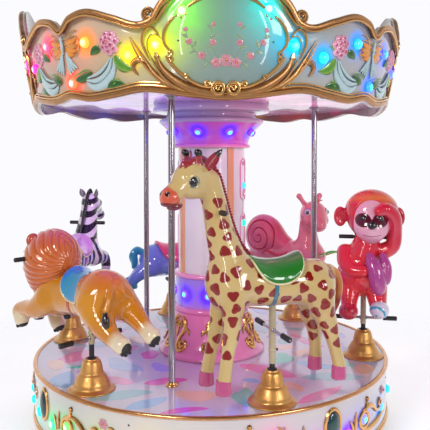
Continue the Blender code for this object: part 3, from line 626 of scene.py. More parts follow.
# Canopy fascia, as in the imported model
FASCIA_TOP_EDGE = (
    (0.0, 2.125), (5.0, 2.095), (10.0, 2.020), (15.0, 1.940), (18.0, 1.862), (21.0, 1.848),
    (28.0, 1.890), (36.0, 1.932), (41.0, 1.915), (45.0, 1.864),
)
FASCIA_BOTTOM_EDGE = (
    (0.0, 1.490), (8.0, 1.502), (21.0, 1.532), (29.0, 1.512), (37.0, 1.498), (45.0, 1.518),
)
FASCIA_THICKNESS = 0.022
# Metres along the fascia for one degree of bearing
FASCIA_DEGREE = math.radians(1.0) * 1.10
PANEL_MIDDLE = 1.752
PANEL_HALF_WIDTH = 0.276
PANEL_HALF_HEIGHT = 0.206


def fascia_radius(height):
    low = 1.064 + (np.minimum(height, 1.80) - 1.506) * 0.193
    return low + np.maximum(height - 1.80, 0.0) * 0.115


def eased(points, at):
    """A smooth line through (place, height) points, level at each one that is a peak or dip."""
    for i, (left, right) in enumerate(zip(points, points[1:])):
        if at <= right[0]:
            break
    slopes = []
    for k in (i, i + 1):
        if k == 0 or k == len(points) - 1:
            slopes.append(0.0)
            continue
        before = (points[k][1] - points[k - 1][1]) / (points[k][0] - points[k - 1][0])
        after = (points[k + 1][1] - points[k][1]) / (points[k + 1][0] - points[k][0])
        slopes.append(0.0 if before * after <= 0.0 else 2.0 * before * after / (before + after))
    width = right[0] - left[0]
    t = (at - left[0]) / width
    return ((2 * t ** 3 - 3 * t ** 2 + 1) * left[1] + (t ** 3 - 2 * t ** 2 + t) * width * slopes[0]
            + (3 * t ** 2 - 2 * t ** 3) * right[1] + (t ** 3 - t ** 2) * width * slopes[1])


def wrap_fascia(across, up, out):
    return at_bearing(fascia_radius(up) + out, CREST_BEARING + across / FASCIA_DEGREE, up)


def turns_of(count):
    return [i * 360.0 / count for i in range(count)]


def on_fascia(points):
    """(degrees from the crest, height, radius) rows as (across, up, radius) rows."""
    return [(row[0] * FASCIA_DEGREE, *row[1:]) for row in points]


def fascia_lamps():
    spots = ((-10.3, 1.890), (9.8, 1.905), (-16.8, 1.743), (17.0, 1.748), (-24.0, 1.702), (26.0, 1.704),
             (-36.8, 1.779), (37.6, 1.792), (-43.2, 1.594))
    return [ring_lamp(fascia_radius(z) + 0.003, CREST_BEARING + unit * 360.0 / UNITS + rel, z, 0.0275,
                      CANOPY_HUES, 9.0)
            for unit in range(UNITS) for rel, z in spots]


def add_fascia_boards(lamps):
    """The four curved boards, hollowed under the top moulding, with a plain inner face."""
    step = 0.9375
    steps = round(90.0 / step)
    seam = 0.012
    for unit in range(UNITS):
        columns = []
        for i in range(steps + 1):
            rel = -45.0 + i * step
            low = eased(FASCIA_BOTTOM_EDGE, abs(rel))
            high = eased(FASCIA_TOP_EDGE, abs(rel))
            bearing = CREST_BEARING + unit * 90.0 + rel
            bearing += seam if i == 0 else -seam if i == steps else 0.0
            rows = [(low, 0.0), (low + 0.020, 0.0)]
            middle_low = low + 0.045
            middle_high = high - 0.075
            rows += [(middle_low + (middle_high - middle_low) * k / 12.0, -0.002) for k in range(13)]
            rows += [(high - 0.052, -0.007), (high - 0.034, -0.010), (high - 0.018, -0.004), (high, 0.0)]
            back = [(high, -FASCIA_THICKNESS), ((low + high) / 2.0, -FASCIA_THICKNESS),
                    (low, -FASCIA_THICKNESS)]
            columns.append([at_bearing(fascia_radius(z) + out, bearing, z) for z, out in rows + back])
        points = np.array(columns).reshape(-1, 3)
        count = len(columns[0])
        faces = grid_faces(len(columns), count)
        faces += [tuple(range(count)), tuple(range(len(points) - count, len(points)))]
        inner = np.tile([-1.0] * len(rows) + [1.0] * (count - len(rows)), len(columns))
        board = mesh_object(f"fascia_board_{unit + 1}", points, faces, FIELD, slot="cream_gloss",
                            inner=inner, **spill_on(points, lamps))
        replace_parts(board, f"fascia_{unit + 1}")


def draw_edge_mouldings(relief):
    """Copper cornice and rolls that follow the boards' edges, with gold beads before them."""
    rels = np.arange(-45.0, 45.01, 0.75)
    top = [(rel * FASCIA_DEGREE, eased(FASCIA_TOP_EDGE, abs(rel))) for rel in rels]
    low = [(rel * FASCIA_DEGREE, eased(FASCIA_BOTTOM_EDGE, abs(rel))) for rel in rels]
    count = len(rels)
    relief.stroke("copper", [(x, z - 0.013, 0.016, 0.008) for x, z in top], 1.0, samples=count, sides=10)
    relief.stroke("gold", [(x, z - 0.031, 0.0052, 0.019) for x, z in top], 1.0, samples=count)
    relief.stroke("copper", [(x, z + 0.012, 0.0145, 0.006) for x, z in low], 1.0, samples=count, sides=10)
    relief.stroke("gold", [(x, z + 0.030, 0.0058, 0.008) for x, z in low], 1.0, samples=count)
    relief.stroke("gold", [(x, z + 0.045, 0.0045, 0.004) for x, z in low], 1.0, samples=count)


def draw_crest(relief):
    """The frame round the panel, its scrolls and acanthus, one half at a time."""
    for side in (-1.0, 1.0):
        relief.flip = side
        relief.stroke("gold", on_fascia([
            (1.0, 1.552, 0.006), (5.0, 1.550, 0.008), (8.8, 1.580, 0.009), (11.8, 1.626, 0.009),
            (13.7, 1.668, 0.009), (14.3, 1.690, 0.007)]), 1.0, 0.014, samples=28)
        relief.stroke("gold", on_fascia([
            (13.4, 1.714, 0.006), (14.6, 1.745, 0.008), (14.7, 1.785, 0.008), (13.8, 1.825, 0.008),
            (12.0, 1.862, 0.007)]), 1.0, 0.014, samples=28)
        relief.stroke("gold", on_fascia([
            (8.9, 1.905, 0.006), (6.4, 1.935, 0.008), (3.2, 1.957, 0.008), (0.6, 1.965, 0.006)]),
            1.0, 0.014, samples=20)
        relief.volute("gold", on_fascia([(13.3, 1.702)])[0], 0.014, 0.005, 90.0, 1.1, 0.016)
        relief.volute("gold", on_fascia([(13.3, 1.678)])[0], 0.013, 0.005, -90.0, -1.1, 0.016)
        relief.volute("gold", on_fascia([(9.6, 1.600)])[0], 0.012, 0.005, 0.0, -1.0, 0.020)
        relief.ring("gold", (0.0365, 1.543), 0.0270, 0.0085, 0.020)
        relief.volute("gold", (0.0365, 1.543), 0.0150, 0.0050, 150.0, -1.0, 0.020)
        relief.volute("gold", (0.090, 1.560), 0.0130, 0.0052, 200.0, -1.1, 0.016)
        relief.stroke("gold", [(0.066, 1.556, 0.005), (0.080, 1.572, 0.006), (0.098, 1.574, 0.004)],
                      0.9, 0.016, samples=12)
        relief.stroke("copper", on_fascia([
            (0.4, 1.512, 0.016), (4.0, 1.520, 0.020), (8.5, 1.542, 0.022), (12.6, 1.584, 0.020),
            (15.4, 1.634, 0.015), (16.6, 1.684, 0.006)]), 0.9, 0.006, samples=32, sides=12)
        relief.stroke("gold", on_fascia([
            (5.0, 1.508, 0.003), (10.0, 1.530, 0.006), (14.4, 1.576, 0.007), (17.0, 1.640, 0.006),
            (18.2, 1.690, 0.003)]), 1.0, 0.010, samples=28)
        relief.stroke("copper", on_fascia([
            (9.0, 1.522, 0.004), (13.8, 1.558, 0.014), (17.2, 1.604, 0.015), (19.0, 1.650, 0.010),
            (20.6, 1.700, 0.007), (23.2, 1.784, 0.001)]), 0.9, 0.006, samples=36, sides=10)
        relief.stroke("gold", on_fascia([
            (14.2, 1.548, 0.003), (18.0, 1.606, 0.005), (20.6, 1.668, 0.005), (22.2, 1.724, 0.004),
            (23.3, 1.784, 0.001)]), 1.0, 0.014, samples=30)
        relief.stroke("copper", on_fascia([
            (18.4, 1.622, 0.006), (19.4, 1.660, 0.010), (21.2, 1.677, 0.011), (22.9, 1.660, 0.011),
            (23.0, 1.634, 0.009), (22.0, 1.612, 0.004)]), 0.9, 0.004, samples=32)
        relief.stroke("gold", on_fascia([
            (18.9, 1.640, 0.002), (19.8, 1.674, 0.004), (21.4, 1.690, 0.004), (23.2, 1.676, 0.003),
            (23.7, 1.650, 0.001)]), 1.0, 0.010, samples=24)
        relief.stroke("gold", on_fascia([
            (18.6, 1.676, 0.003), (19.6, 1.716, 0.006), (20.2, 1.756, 0.007), (19.8, 1.796, 0.007),
            (18.4, 1.822, 0.007), (17.0, 1.812, 0.006), (16.0, 1.786, 0.004)]), 1.0, 0.008, samples=36)
        relief.stroke("gold", on_fascia([
            (18.3, 1.690, 0.002), (18.9, 1.724, 0.004), (18.8, 1.762, 0.004), (17.6, 1.790, 0.004),
            (16.2, 1.784, 0.003), (15.3, 1.764, 0.001)]), 1.0, 0.006, samples=30)
        relief.leaf("gold", on_fascia([(17.0, 1.715)])[0], on_fascia([(16.4, 1.640)])[0], 0.030,
                    lobes=3, lift=0.006)
        relief.volute("copper", on_fascia([(18.1, 1.880)])[0], 0.030, 0.010, -60.0, 1.6, 0.010, inner=0.22)
        relief.volute("gold", on_fascia([(18.1, 1.880)])[0], 0.031, 0.0042, -60.0, 1.5, 0.020, inner=0.25)
        relief.stroke("gold", on_fascia([
            (21.0, 1.818, 0.003), (18.6, 1.836, 0.006), (16.6, 1.850, 0.007), (14.9, 1.884, 0.007),
            (13.0, 1.930, 0.006), (10.6, 1.984, 0.005), (7.0, 2.040, 0.004), (3.5, 2.072, 0.003)]),
            1.0, 0.010, samples=48)
        for rel, z in ((11.6, 1.866), (10.4, 1.858), (9.4, 1.872)):
            relief.dome("gold", on_fascia([(rel, z)])[0], 0.0075, 0.007, 0.010, sides=12)
        relief.dome("gold", (0.013, 1.948), 0.010, 0.010, 0.012, sides=12)
        relief.leaf("gold", (0.010, 1.985), (0.060, 2.050), 0.036, bow=0.2, lift=0.006, lobes=3)
        relief.leaf("gold", (0.010, 1.980), (0.100, 2.000), 0.030, bow=0.2, lift=0.006, lobes=3)
    relief.flip = 1.0
    relief.leaf("gold", (0.0, 1.975), (0.0, 2.075), 0.046, lift=0.008, lobes=4)
    relief.dome("copper", (0.0, 1.978), 0.018, 0.014, 0.008)


def draw_rose(relief, centre, radius):
    """A full rose: rings of rounded petals, each higher than the last."""
    for petals, away, size, lift, turn in ((7, 0.66, 0.40, 0.003, 0.35), (5, 0.34, 0.36, 0.010, 0.0),
                                           (3, 0.13, 0.22, 0.016, 0.8)):
        for k in range(petals):
            a = turn + 2.0 * math.pi * k / petals
            spot = (centre[0] + radius * away * math.cos(a), centre[1] + 1.1 * radius * away * math.sin(a))
            relief.dome("rose", spot, radius * size, radius * 0.22, lift, steps=5, sides=16)
    relief.dome("heart", centre, radius * 0.10, radius * 0.10, 0.024, sides=10)


def draw_flowers(relief):
    """Rose, leaves and ribbon swag to each side of the crest."""
    for side, aside in ((-1.0, 0.0), (1.0, 1.9)):
        relief.flip = side

        def at(rel, z):
            return on_fascia([(rel + aside, z)])[0]

        draw_rose(relief, at(29.3, 1.766), 0.054)
        relief.leaf("dark_leaf", at(32.0, 1.744), at(35.4, 1.716), 0.040, bow=0.12)
        relief.leaf("bright_leaf", at(27.6, 1.716), at(25.6, 1.764), 0.022, bow=-0.25)
        relief.leaf("bright_leaf", at(28.0, 1.708), at(22.9, 1.640), 0.050, bow=0.18)
        relief.leaf("dark_leaf", at(27.8, 1.682), at(24.0, 1.636), 0.030, bow=0.22, lift=0.001)
        relief.leaf("dark_leaf", at(31.4, 1.560), at(25.8, 1.570), 0.040, bow=-0.10)
        relief.leaf("bright_leaf", at(29.8, 1.568), at(27.6, 1.602), 0.018, lift=0.007)
        for rows, depth, lift in (
                (((28.5, 1.696, 0.004), (28.7, 1.646, 0.013), (30.4, 1.598, 0.020), (33.2, 1.566, 0.023),
                  (36.0, 1.566, 0.017), (37.9, 1.590, 0.006)), 0.55, 0.002),
                (((28.8, 1.696, 0.004), (29.9, 1.648, 0.010), (32.0, 1.610, 0.013), (34.6, 1.594, 0.012),
                  (37.6, 1.600, 0.005)), 0.8, 0.008),
                (((29.2, 1.698, 0.003), (31.0, 1.658, 0.007), (33.4, 1.628, 0.008), (37.2, 1.610, 0.004)),
                 0.9, 0.008)):
            relief.stroke("silver", [(*at(rel, z), r) for rel, z, r in rows], depth, lift, samples=26)
        relief.leaf("dark_leaf", at(42.0 - aside, 1.606), at(35.6, 1.640), 0.038, bow=0.08, lift=0.006)
        relief.stroke("bright_leaf", [(*at(42.3 - aside, 1.622), 0.002), (*at(39.6, 1.636), 0.004),
                                      (*at(37.2, 1.648), 0.004), (*at(35.2, 1.642), 0.001)],
                      0.8, 0.012, samples=16)
    for side in (-1.0, 1.0):
        relief.flip = side
        for k in range(4):
            rows = ((44.4 - 0.15 * k, 1.744, 0.003), (44.0 - 0.35 * k, 1.710, 0.0065),
                    (43.6 - 0.75 * k, 1.660 + 0.005 * k, 0.0075), (43.4 - 0.95 * k, 1.636 + 0.009 * k, 0.004))
            relief.stroke("silver", on_fascia(rows), 0.9, 0.004, samples=14)
        for k, (tip, low) in enumerate(((39.4, 1.806), (39.0, 1.776), (39.6, 1.748), (41.0, 1.728))):
            relief.leaf("orange", on_fascia([(44.2, 1.784 - 0.012 * k)])[0], on_fascia([(tip, low)])[0],
                        0.034, bow=0.06, lift=0.003, rise=0.2)
        relief.stroke("gold", on_fascia([
            (44.2, 1.792, 0.002), (41.4, 1.816, 0.003), (39.2, 1.810, 0.003), (38.5, 1.776, 0.003),
            (39.2, 1.744, 0.003), (41.0, 1.718, 0.002)]), 0.9, 0.006, samples=30)
        relief.stroke("gold", on_fascia([
            (44.2, 1.780, 0.002), (42.6, 1.770, 0.003), (40.6, 1.772, 0.003), (39.2, 1.762, 0.002)]),
            0.9, 0.009, samples=16)
        relief.stroke("gold", on_fascia([
            (44.4, 1.806, 0.003), (42.4, 1.822, 0.003), (40.8, 1.840, 0.003), (39.0, 1.842, 0.002)]),
            0.9, 0.008, samples=18)
    relief.flip = 1.0


def draw_butterfly_body(relief):
    """The silver body over each joint between boards."""
    middle = 45.0 * FASCIA_DEGREE
    relief.stroke("silver", [(middle, 1.738, 0.004), (middle, 1.762, 0.009), (middle, 1.786, 0.009),
                             (middle, 1.800, 0.007), (middle, 1.812, 0.010), (middle, 1.822, 0.004)],
                  1.0, 0.010, samples=26)


def draw_panel(relief):
    """The oval panel and a plain spray of blossoms on it."""
    sides = 48
    turn = 2.0 * math.pi * np.arange(sides) / sides
    rings = []
    for share, out in ((1.0, 0.0), (1.0, 0.011), (0.97, 0.014), (0.7, 0.0155), (0.4, 0.0165), (0.1, 0.017)):
        rings.append(np.stack([PANEL_HALF_WIDTH * share * np.cos(turn),
                               PANEL_MIDDLE + PANEL_HALF_HEIGHT * share * np.sin(turn),
                               np.full(sides, out)], axis=-1))
    relief.loft("panel", rings)
    flat = 0.0162
    for side in (-1.0, 1.0):
        relief.flip = side
        relief.stroke("sage", [(0.010, 1.640, 0.0016), (0.060, 1.650, 0.0016), (0.120, 1.690, 0.0014),
                               (0.165, 1.745, 0.0012), (0.180, 1.800, 0.0008)], 0.5, flat, samples=30)
        relief.stroke("sage", [(0.020, 1.645, 0.0014), (0.050, 1.700, 0.0014), (0.070, 1.760, 0.0012),
                               (0.060, 1.820, 0.0008)], 0.5, flat, samples=24)
        leaves = ((0.075, 1.655, 0.100, 1.632), (0.100, 1.675, 0.100, 1.712), (0.138, 1.708, 0.168, 1.700),
                  (0.152, 1.728, 0.136, 1.762), (0.174, 1.770, 0.200, 1.782), (0.058, 1.720, 0.092, 1.728),
                  (0.070, 1.770, 0.042, 1.790), (0.064, 1.805, 0.088, 1.822), (0.035, 1.665, 0.010, 1.700))
        for x, z, tip_x, tip_z in leaves:
            relief.leaf("sage", (x, z), (tip_x, tip_z), 0.015, bow=0.1, lift=flat, rise=0.10, samples=8)
        for x, z, size in ((0.046, 1.658, 0.026), (0.112, 1.690, 0.020), (0.168, 1.752, 0.017),
                           (0.060, 1.748, 0.017), (0.182, 1.806, 0.012), (0.058, 1.828, 0.012)):
            relief.blossom("blush", "heart", (x, z), size, layers=2, lift=flat, turn=x * 30.0)
        relief.dome("screw", (0.216, 1.756), 0.0045, 0.003, flat, sides=10)
    relief.flip = 1.0
    relief.blossom("blush", "heart", (0.0, 1.668), 0.032, petals=6, layers=3, lift=flat)


def dress_canopy():
    lamps = fascia_lamps()
    add_fascia_boards(lamps)
    relief = Relief()
    draw_edge_mouldings(relief)
    draw_crest(relief)
    draw_flowers(relief)
    draw_butterfly_body(relief)
    draw_panel(relief)
    finishes = dict(FINISHES)
    finishes["panel"] = gel_coat("panel_paint", (0.19, 0.27, 0.25), (0.24, 0.32, 0.30), 0.38, glow=0.45)
    for obj in relief.objects("canopy", finishes, wrap_fascia, turns_of(UNITS)):
        if obj.name == "canopy_panel":
            add_spill(obj, lamps, 0.06, 0.135, 0.65)
    add_lamps("canopy_lamps", lamps, collar=False)


def finish_node(material, *names):
    """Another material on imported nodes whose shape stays."""
    for name in names:
        data = nodes[name].data
        data.materials.clear()
        data.materials.append(material)
        data.shade_smooth()
        data.set_sharp_from_angle(angle=math.radians(35.0))


def dress_ceiling_and_roof():
    # The ceiling's pink and violet tones are painted light: the canopy lamps' coloured glow laid over a whiter lilac
    # gloss
    ceiling = gel_coat("ceiling_lilac_and_lamp_light", (0.54, 0.40, 0.62), (0.62, 0.36, 0.56), 0.20, clouds=1.1,
                       relief=0.02)
    finish_node(ceiling, "canopy_ceiling")
    eave = CEILING + 0.0203
    skin = 0.008
    slope = rounded([(1.035, eave), (1.028, eave + 0.026), (0.820, 1.700), (0.560, 1.845),
                     (0.300, 2.010), (0.130, 2.160), (0.050, 2.240)], 2)
    over = np.vstack([slope, [(0.002, 2.240), (0.002, 2.232)]])
    under = slope[::-1] - np.array([skin, skin])
    under = np.vstack([under[:-1], [(1.035 - skin, eave)]])
    under[:, 0] = np.maximum(under[:, 0], 0.004)
    roof_paint = gel_coat("roof_cream", (0.74, 0.66, 0.56), (0.68, 0.60, 0.54), 0.24)
    roof = turned("roof_shell", np.vstack([over, under]), roof_paint, loop=True, slot="cream_gloss")
    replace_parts(roof, "canopy_roof")
    relief = Relief()
    ribs = 12
    for rib in range(ribs):
        angle = 2.0 * math.pi * rib / ribs
        relief.stroke("gold", [(angle, t, 0.0055 - 0.002 * t) for t in np.linspace(0.04, 0.96, 13)],
                      1.0, samples=37)
    line = np.array(slope)
    reach = np.concatenate([[0.0], np.cumsum(np.linalg.norm(np.diff(line, axis=0), axis=1))])
    reach /= reach[-1]

    def wrap_roof(across, up, out):
        # Strokes here run up the slope: across is the angle and the width of the rib together
        turn = np.round(across / (2.0 * math.pi / ribs)) * (2.0 * math.pi / ribs)
        width = across - turn
        radius = np.interp(up, reach, line[:, 0])
        height = np.interp(up, reach, line[:, 1])
        return np.stack([radius * np.sin(turn) + width * np.cos(turn),
                         -radius * np.cos(turn) + width * np.sin(turn), DECK + height + out], axis=-1)

    relief.objects("roof_ribs", FINISHES, wrap_roof, slot="gold_trim")
    top = rounded([(0.045, 2.2403), (0.046, 2.250), (0.020, 2.262), (0.030, 2.280), (0.048, 2.305),
                   (0.051, 2.330), (0.038, 2.360), (0.014, 2.382), (0.001, 2.398)], 2)
    finial = turned("gold_finial", top, GOLD, sides=40, slot="gold_trim", tone=[0.15] * len(top))
    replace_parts(finial, "roof_finial")


def dress_poles():
    """Polished poles, each with a turned collar at its foot and head."""
    collar = [(0.0360, 0.0004), (0.0368, 0.003), (0.0350, 0.0065), (0.0270, 0.009), (0.0262, 0.014),
              (0.0235, 0.018), (0.0188, 0.019)]
    for i, bearing in enumerate((-17.7, 102.3, 222.3)):
        spot = at_bearing(0.700, bearing)[:2]
        pole = turned(f"steel_pole_{i + 1}", [(0.0184, 0.0180), (0.0184, CEILING - 0.0180)], STEEL,
                      sides=40, place=spot, slot="polished_steel")
        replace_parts(pole, f"pole_{i + 1}")
        for name, profile in (("foot", collar), ("head", [(r, CEILING - z) for r, z in collar])):
            profile = np.vstack([profile, [(0.010, profile[-1][1]), (0.010, profile[0][1])]])
            turned(f"pole_{name}_{i + 1}", profile, GOLD if name == "foot" else STEEL, sides=40,
                   place=spot, loop=True, tone=[0.2] * len(profile),
                   slot="gold_trim" if name == "foot" else "polished_steel")


SHAFT_RADIUS = 0.2115
PILASTER_RADIUS = 0.222
PILASTER_BEARINGS = (33.0, 123.0, 213.0, 303.0)
COLUMN_FOOT = (
    (0.333, 0.0004), (0.339, 0.008), (0.336, 0.024), (0.318, 0.034), (0.292, 0.070), (0.272, 0.115),
    (0.254, 0.180), (0.240, 0.235), (0.233, 0.260), (0.246, 0.266), (0.250, 0.278), (0.246, 0.290),
    (0.229, 0.298),
)
COLUMN_COLLAR = ((0.229, 0.476), (0.240, 0.480), (0.2445, 0.490), (0.240, 0.500), (0.228, 0.5048))


def column_foot_radius(height):
    return np.interp(height, [z for _, z in COLUMN_FOOT], [r for r, _ in COLUMN_FOOT])


def dress_column():
    band_lamps = [ring_lamp(0.2275, -5.0 + 40.0 * i, 0.378, 0.0250, COLUMN_LIGHT) for i in range(9)]
    head_lamps = [ring_lamp(0.274, -17.0 + 40.0 * i, 1.378, 0.0245, COLUMN_LIGHT, 38.0) for i in range(9)]
    foot_profile = np.vstack([rounded(COLUMN_FOOT, 2), [(0.10, 0.298), (0.10, 0.0004)]])
    foot = turned("column_foot", foot_profile, PINK, loop=True, slot="pink_gloss")
    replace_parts(foot, "column_base")
    rows = [(0.2275, z) for z in np.linspace(0.2982, 0.4762, 19)]
    band = turned("column_light_band", [*rows, (0.10, 0.4762), (0.10, 0.2982)], BAND_PAINT, loop=True,
                  sides=144)
    add_spill(band, band_lamps, 0.054, 0.085, 0.45)
    collar = np.vstack([rounded(COLUMN_COLLAR, 2), [(0.10, 0.5048), (0.10, 0.476)]])
    turned("column_collar", collar, PINK, loop=True, slot="pink_gloss")
    capital_low = rounded([(0.234, 1.280), (0.247, 1.283), (0.250, 1.292), (0.243, 1.302),
                           (0.234, 1.306)], 2)
    capital_low = np.vstack([capital_low, [(0.10, 1.306), (0.10, 1.280)]])
    turned("capital_ring", capital_low, PINK, loop=True, slot="pink_gloss")
    bowl = smooth_path([(0.234, 1.306), (0.240, 1.330), (0.254, 1.358), (0.276, 1.388), (0.300, 1.412),
                        (0.322, 1.432)], 24)
    bowl = turned("capital_bowl", np.vstack([bowl, [(0.10, 1.432), (0.10, 1.306)]]), CAPITAL_PAINT,
                  loop=True, sides=144)
    add_spill(bowl, head_lamps, 0.052, 0.080, 0.35)
    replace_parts(bowl, "column_capital")
    cap = rounded([(0.322, 1.4325), (0.331, 1.440), (0.331, 1.452), (0.322, 1.462), (0.290, 1.466),
                   (0.284, 1.474), (0.284, 1.494), (0.292, 1.500), (0.358, 1.503), (0.369, 1.512),
                   (0.369, 1.532), (0.362, CEILING - 0.0004)], 2)
    cap = np.vstack([cap, [(0.10, CEILING - 0.0004), (0.10, 1.4325)]])
    turned("capital_crown", cap, gel_coat("crown_lilac", (0.46, 0.44, 0.56), (0.36, 0.35, 0.48), 0.10),
           loop=True)
    add_lamps("column_lamps", band_lamps, collar=False)
    add_lamps("capital_lamps", head_lamps, collar=False)
    shaft_low = 0.5053
    shaft_high = 1.2797
    turn = np.arange(0.0, 360.0, 2.0)
    shaft_points = np.concatenate([at_bearing(SHAFT_RADIUS, turn, z) for z in (shaft_low, shaft_high)])
    faces = grid_faces(2, len(turn))
    faces += [tuple(range(len(turn))), tuple(range(len(turn), 2 * len(turn)))]
    shaft = mesh_object("column_shaft_white", shaft_points, faces, WHITE, slot="white_gloss")
    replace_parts(shaft, "column_shaft")
    for i, bearing in enumerate(PILASTER_BEARINGS):
        add_pilaster(f"pilaster_{i + 1}", bearing, shaft_low, shaft_high)
    add_cartouches()
    add_foot_scrolls()


def add_spill(obj, lamps, *reach):
    """Adds the light of lamps to a finished piece as its spill."""
    points = np.array([v.co for v in obj.data.vertices])
    light = spill_on(points, lamps, *reach)
    rgba = np.ones((len(points), 4), np.float32)
    rgba[:, :3] = light["spill"]
    obj.data.attributes.new("spill", "FLOAT_COLOR", "POINT").data.foreach_set("color", rgba.ravel())
    share = np.asarray(light["spill_share"], np.float32)
    obj.data.attributes.new("spill_share", "FLOAT", "POINT").data.foreach_set("value", share)


def add_pilaster(name, bearing, low, high):
    """A salmon strip with rounded edges down the shaft."""
    section = []
    for rel, radius in ((-6.2, 0.2105), (-6.0, 0.2160), (-5.2, 0.2205), (-3.0, 0.2218), (0.0, 0.2222),
                        (3.0, 0.2218), (5.2, 0.2205), (6.0, 0.2160), (6.2, 0.2105), (0.0, 0.2090)):
        section.append((bearing + rel, radius))
    rings = [np.array([at_bearing(r, b, z) for b, r in section]) for z in (low, high)]
    faces = grid_faces(2, len(section))
    faces += [tuple(range(len(section))), tuple(range(len(section), 2 * len(section)))]
    mesh_object(name, np.concatenate(rings), faces, SALMON)


def wrap_shaft(bearing):
    def wrap(across, up, out):
        return at_bearing(SHAFT_RADIUS + out, bearing + np.degrees(across / SHAFT_RADIUS), up)
    return wrap


CARTOUCHE_LIGHT = (
    (((0.06, 0.85, 1.0), (0.02, 0.30, 0.95)), ((0.10, 1.0, 0.55), (0.0, 0.70, 0.30)),
     ((0.06, 0.85, 1.0), (0.10, 0.10, 0.95))),
    (((1.0, 0.40, 0.85), (0.95, 0.02, 0.50)), ((1.0, 0.40, 0.85), (0.95, 0.02, 0.50)),
     ((0.06, 0.95, 0.95), (0.0, 0.55, 0.60))),
)


def add_cartouches():
    """Tall pink frames with scrolled heads and a lamp each, on two sides of the shaft."""
    lamps = []
    for i, bearing in enumerate((72.0, 252.0)):
        relief = Relief()
        for low, high in ((0.590, 0.870), (0.955, 1.215)):
            middle = (low + high) / 2.0
            half = 0.052
            outline = [(-half, middle, 0.0055), (-half, high - 0.035, 0.0055),
                       (-half * 0.7, high - 0.012, 0.005), (0.0, high, 0.006),
                       (half * 0.7, high - 0.012, 0.005), (half, high - 0.035, 0.0055),
                       (half, middle, 0.0055), (half, low + 0.035, 0.0055),
                       (half * 0.7, low + 0.012, 0.005), (0.0, low, 0.006),
                       (-half * 0.7, low + 0.012, 0.005), (-half, low + 0.035, 0.0055)]
            loop = smooth_path([*outline, outline[0]], 60)[:-1]
            relief.stroke("pink", [tuple(row) for row in loop], 0.9, 0.001, closed=True)
            relief.volute("pink", (0.012, high - 0.030), 0.011, 0.004, 90.0, -1.2, 0.002)
            relief.volute("pink", (-0.012, high - 0.030), 0.011, 0.004, 90.0, 1.2, 0.002)
            relief.leaf("pink", (0.0, low + 0.020), (0.0, low + 0.080), 0.030, lobes=3, lift=0.001)
        relief.objects(f"cartouche_{i + 1}", FINISHES, wrap_shaft(bearing), slot="pink_gloss")
        for height, light in zip((1.046, 0.810, 0.645), CARTOUCHE_LIGHT[i]):
            lamps.append(ring_lamp(SHAFT_RADIUS + 0.002, bearing, height, 0.0210, light))
    add_lamps("cartouche_lamps", lamps, collar=False)


def add_foot_scrolls():
    """Gold S-scrolls with curled ends on the flared foot."""
    relief = Relief()
    for side in (-1.0, 1.0):
        relief.flip = side
        relief.stroke("gold", [(0.006, 0.236, 0.006), (0.034, 0.232, 0.010), (0.056, 0.204, 0.013),
                               (0.056, 0.160, 0.013), (0.036, 0.124, 0.012), (0.028, 0.088, 0.011),
                               (0.046, 0.056, 0.009), (0.072, 0.050, 0.008)], 0.9, 0.002, samples=44)
        relief.volute("gold", (0.070, 0.082), 0.030, 0.0095, -95.0, 1.3, 0.003)
        relief.volute("gold", (0.024, 0.196), 0.020, 0.0075, 80.0, 1.2, 0.003)
        relief.leaf("gold", (0.060, 0.175), (0.098, 0.135), 0.026, bow=0.2, lobes=2, lift=0.002)
        relief.leaf("gold", (0.034, 0.118), (0.006, 0.060), 0.022, bow=0.2, lift=0.002)
    relief.flip = 1.0
    relief.leaf("gold", (0.0, 0.120), (0.0, 0.205), 0.026, lobes=3, lift=0.003)

    def wrap(across, up, out):
        radius = column_foot_radius(up)
        return at_bearing(radius + out, 8.0 + np.degrees(across / radius), up + 0.35 * out)

    relief.objects("foot_scrolls", FINISHES, wrap, turns_of(6), slot="gold_trim")


# Painted patches on the deck: place, length, width, direction of length, colour
DECK_PATCHES = (
    (-0.84, -0.18, 0.30, 0.16, 60, "pink"), (-0.92, -0.32, 0.20, 0.10, 110, "peach"),
    (-0.81, -0.57, 0.26, 0.13, 100, "blue"), (-0.52, -0.33, 0.34, 0.13, 130, "grey_blue"),
    (-0.52, -0.59, 0.22, 0.09, 150, "pink"), (-0.48, -0.81, 0.36, 0.12, 20, "teal"),
    (-0.32, -0.91, 0.24, 0.10, 35, "blue"), (-0.25, -0.61, 0.24, 0.10, 15, "magenta"),
    (-0.30, -0.38, 0.18, 0.09, 120, "violet"), (-0.38, -0.15, 0.18, 0.11, 90, "magenta"),
    (-0.08, -0.81, 0.24, 0.14, 170, "peach"), (-0.13, -1.00, 0.24, 0.06, 14, "magenta"),
    (0.43, -0.23, 0.22, 0.11, 80, "green"), (0.57, -0.12, 0.18, 0.09, 60, "peach"),
    (0.61, -0.36, 0.26, 0.09, 150, "blue"), (0.32, -0.45, 0.38, 0.13, 145, "pink"),
    (0.67, -0.56, 0.34, 0.13, 0, "teal"), (0.88, -0.44, 0.18, 0.11, 70, "peach"),
    (0.44, -0.70, 0.15, 0.08, 120, "peach"), (0.56, -0.82, 0.34, 0.09, 40, "pink"),
    (0.22, -0.61, 0.11, 0.06, 150, "blue"), (0.17, -0.84, 0.24, 0.11, 90, "green"),
    (0.86, -0.14, 0.28, 0.12, 100, "violet"), (-0.70, 0.08, 0.26, 0.12, 20, "grey_blue"),
)
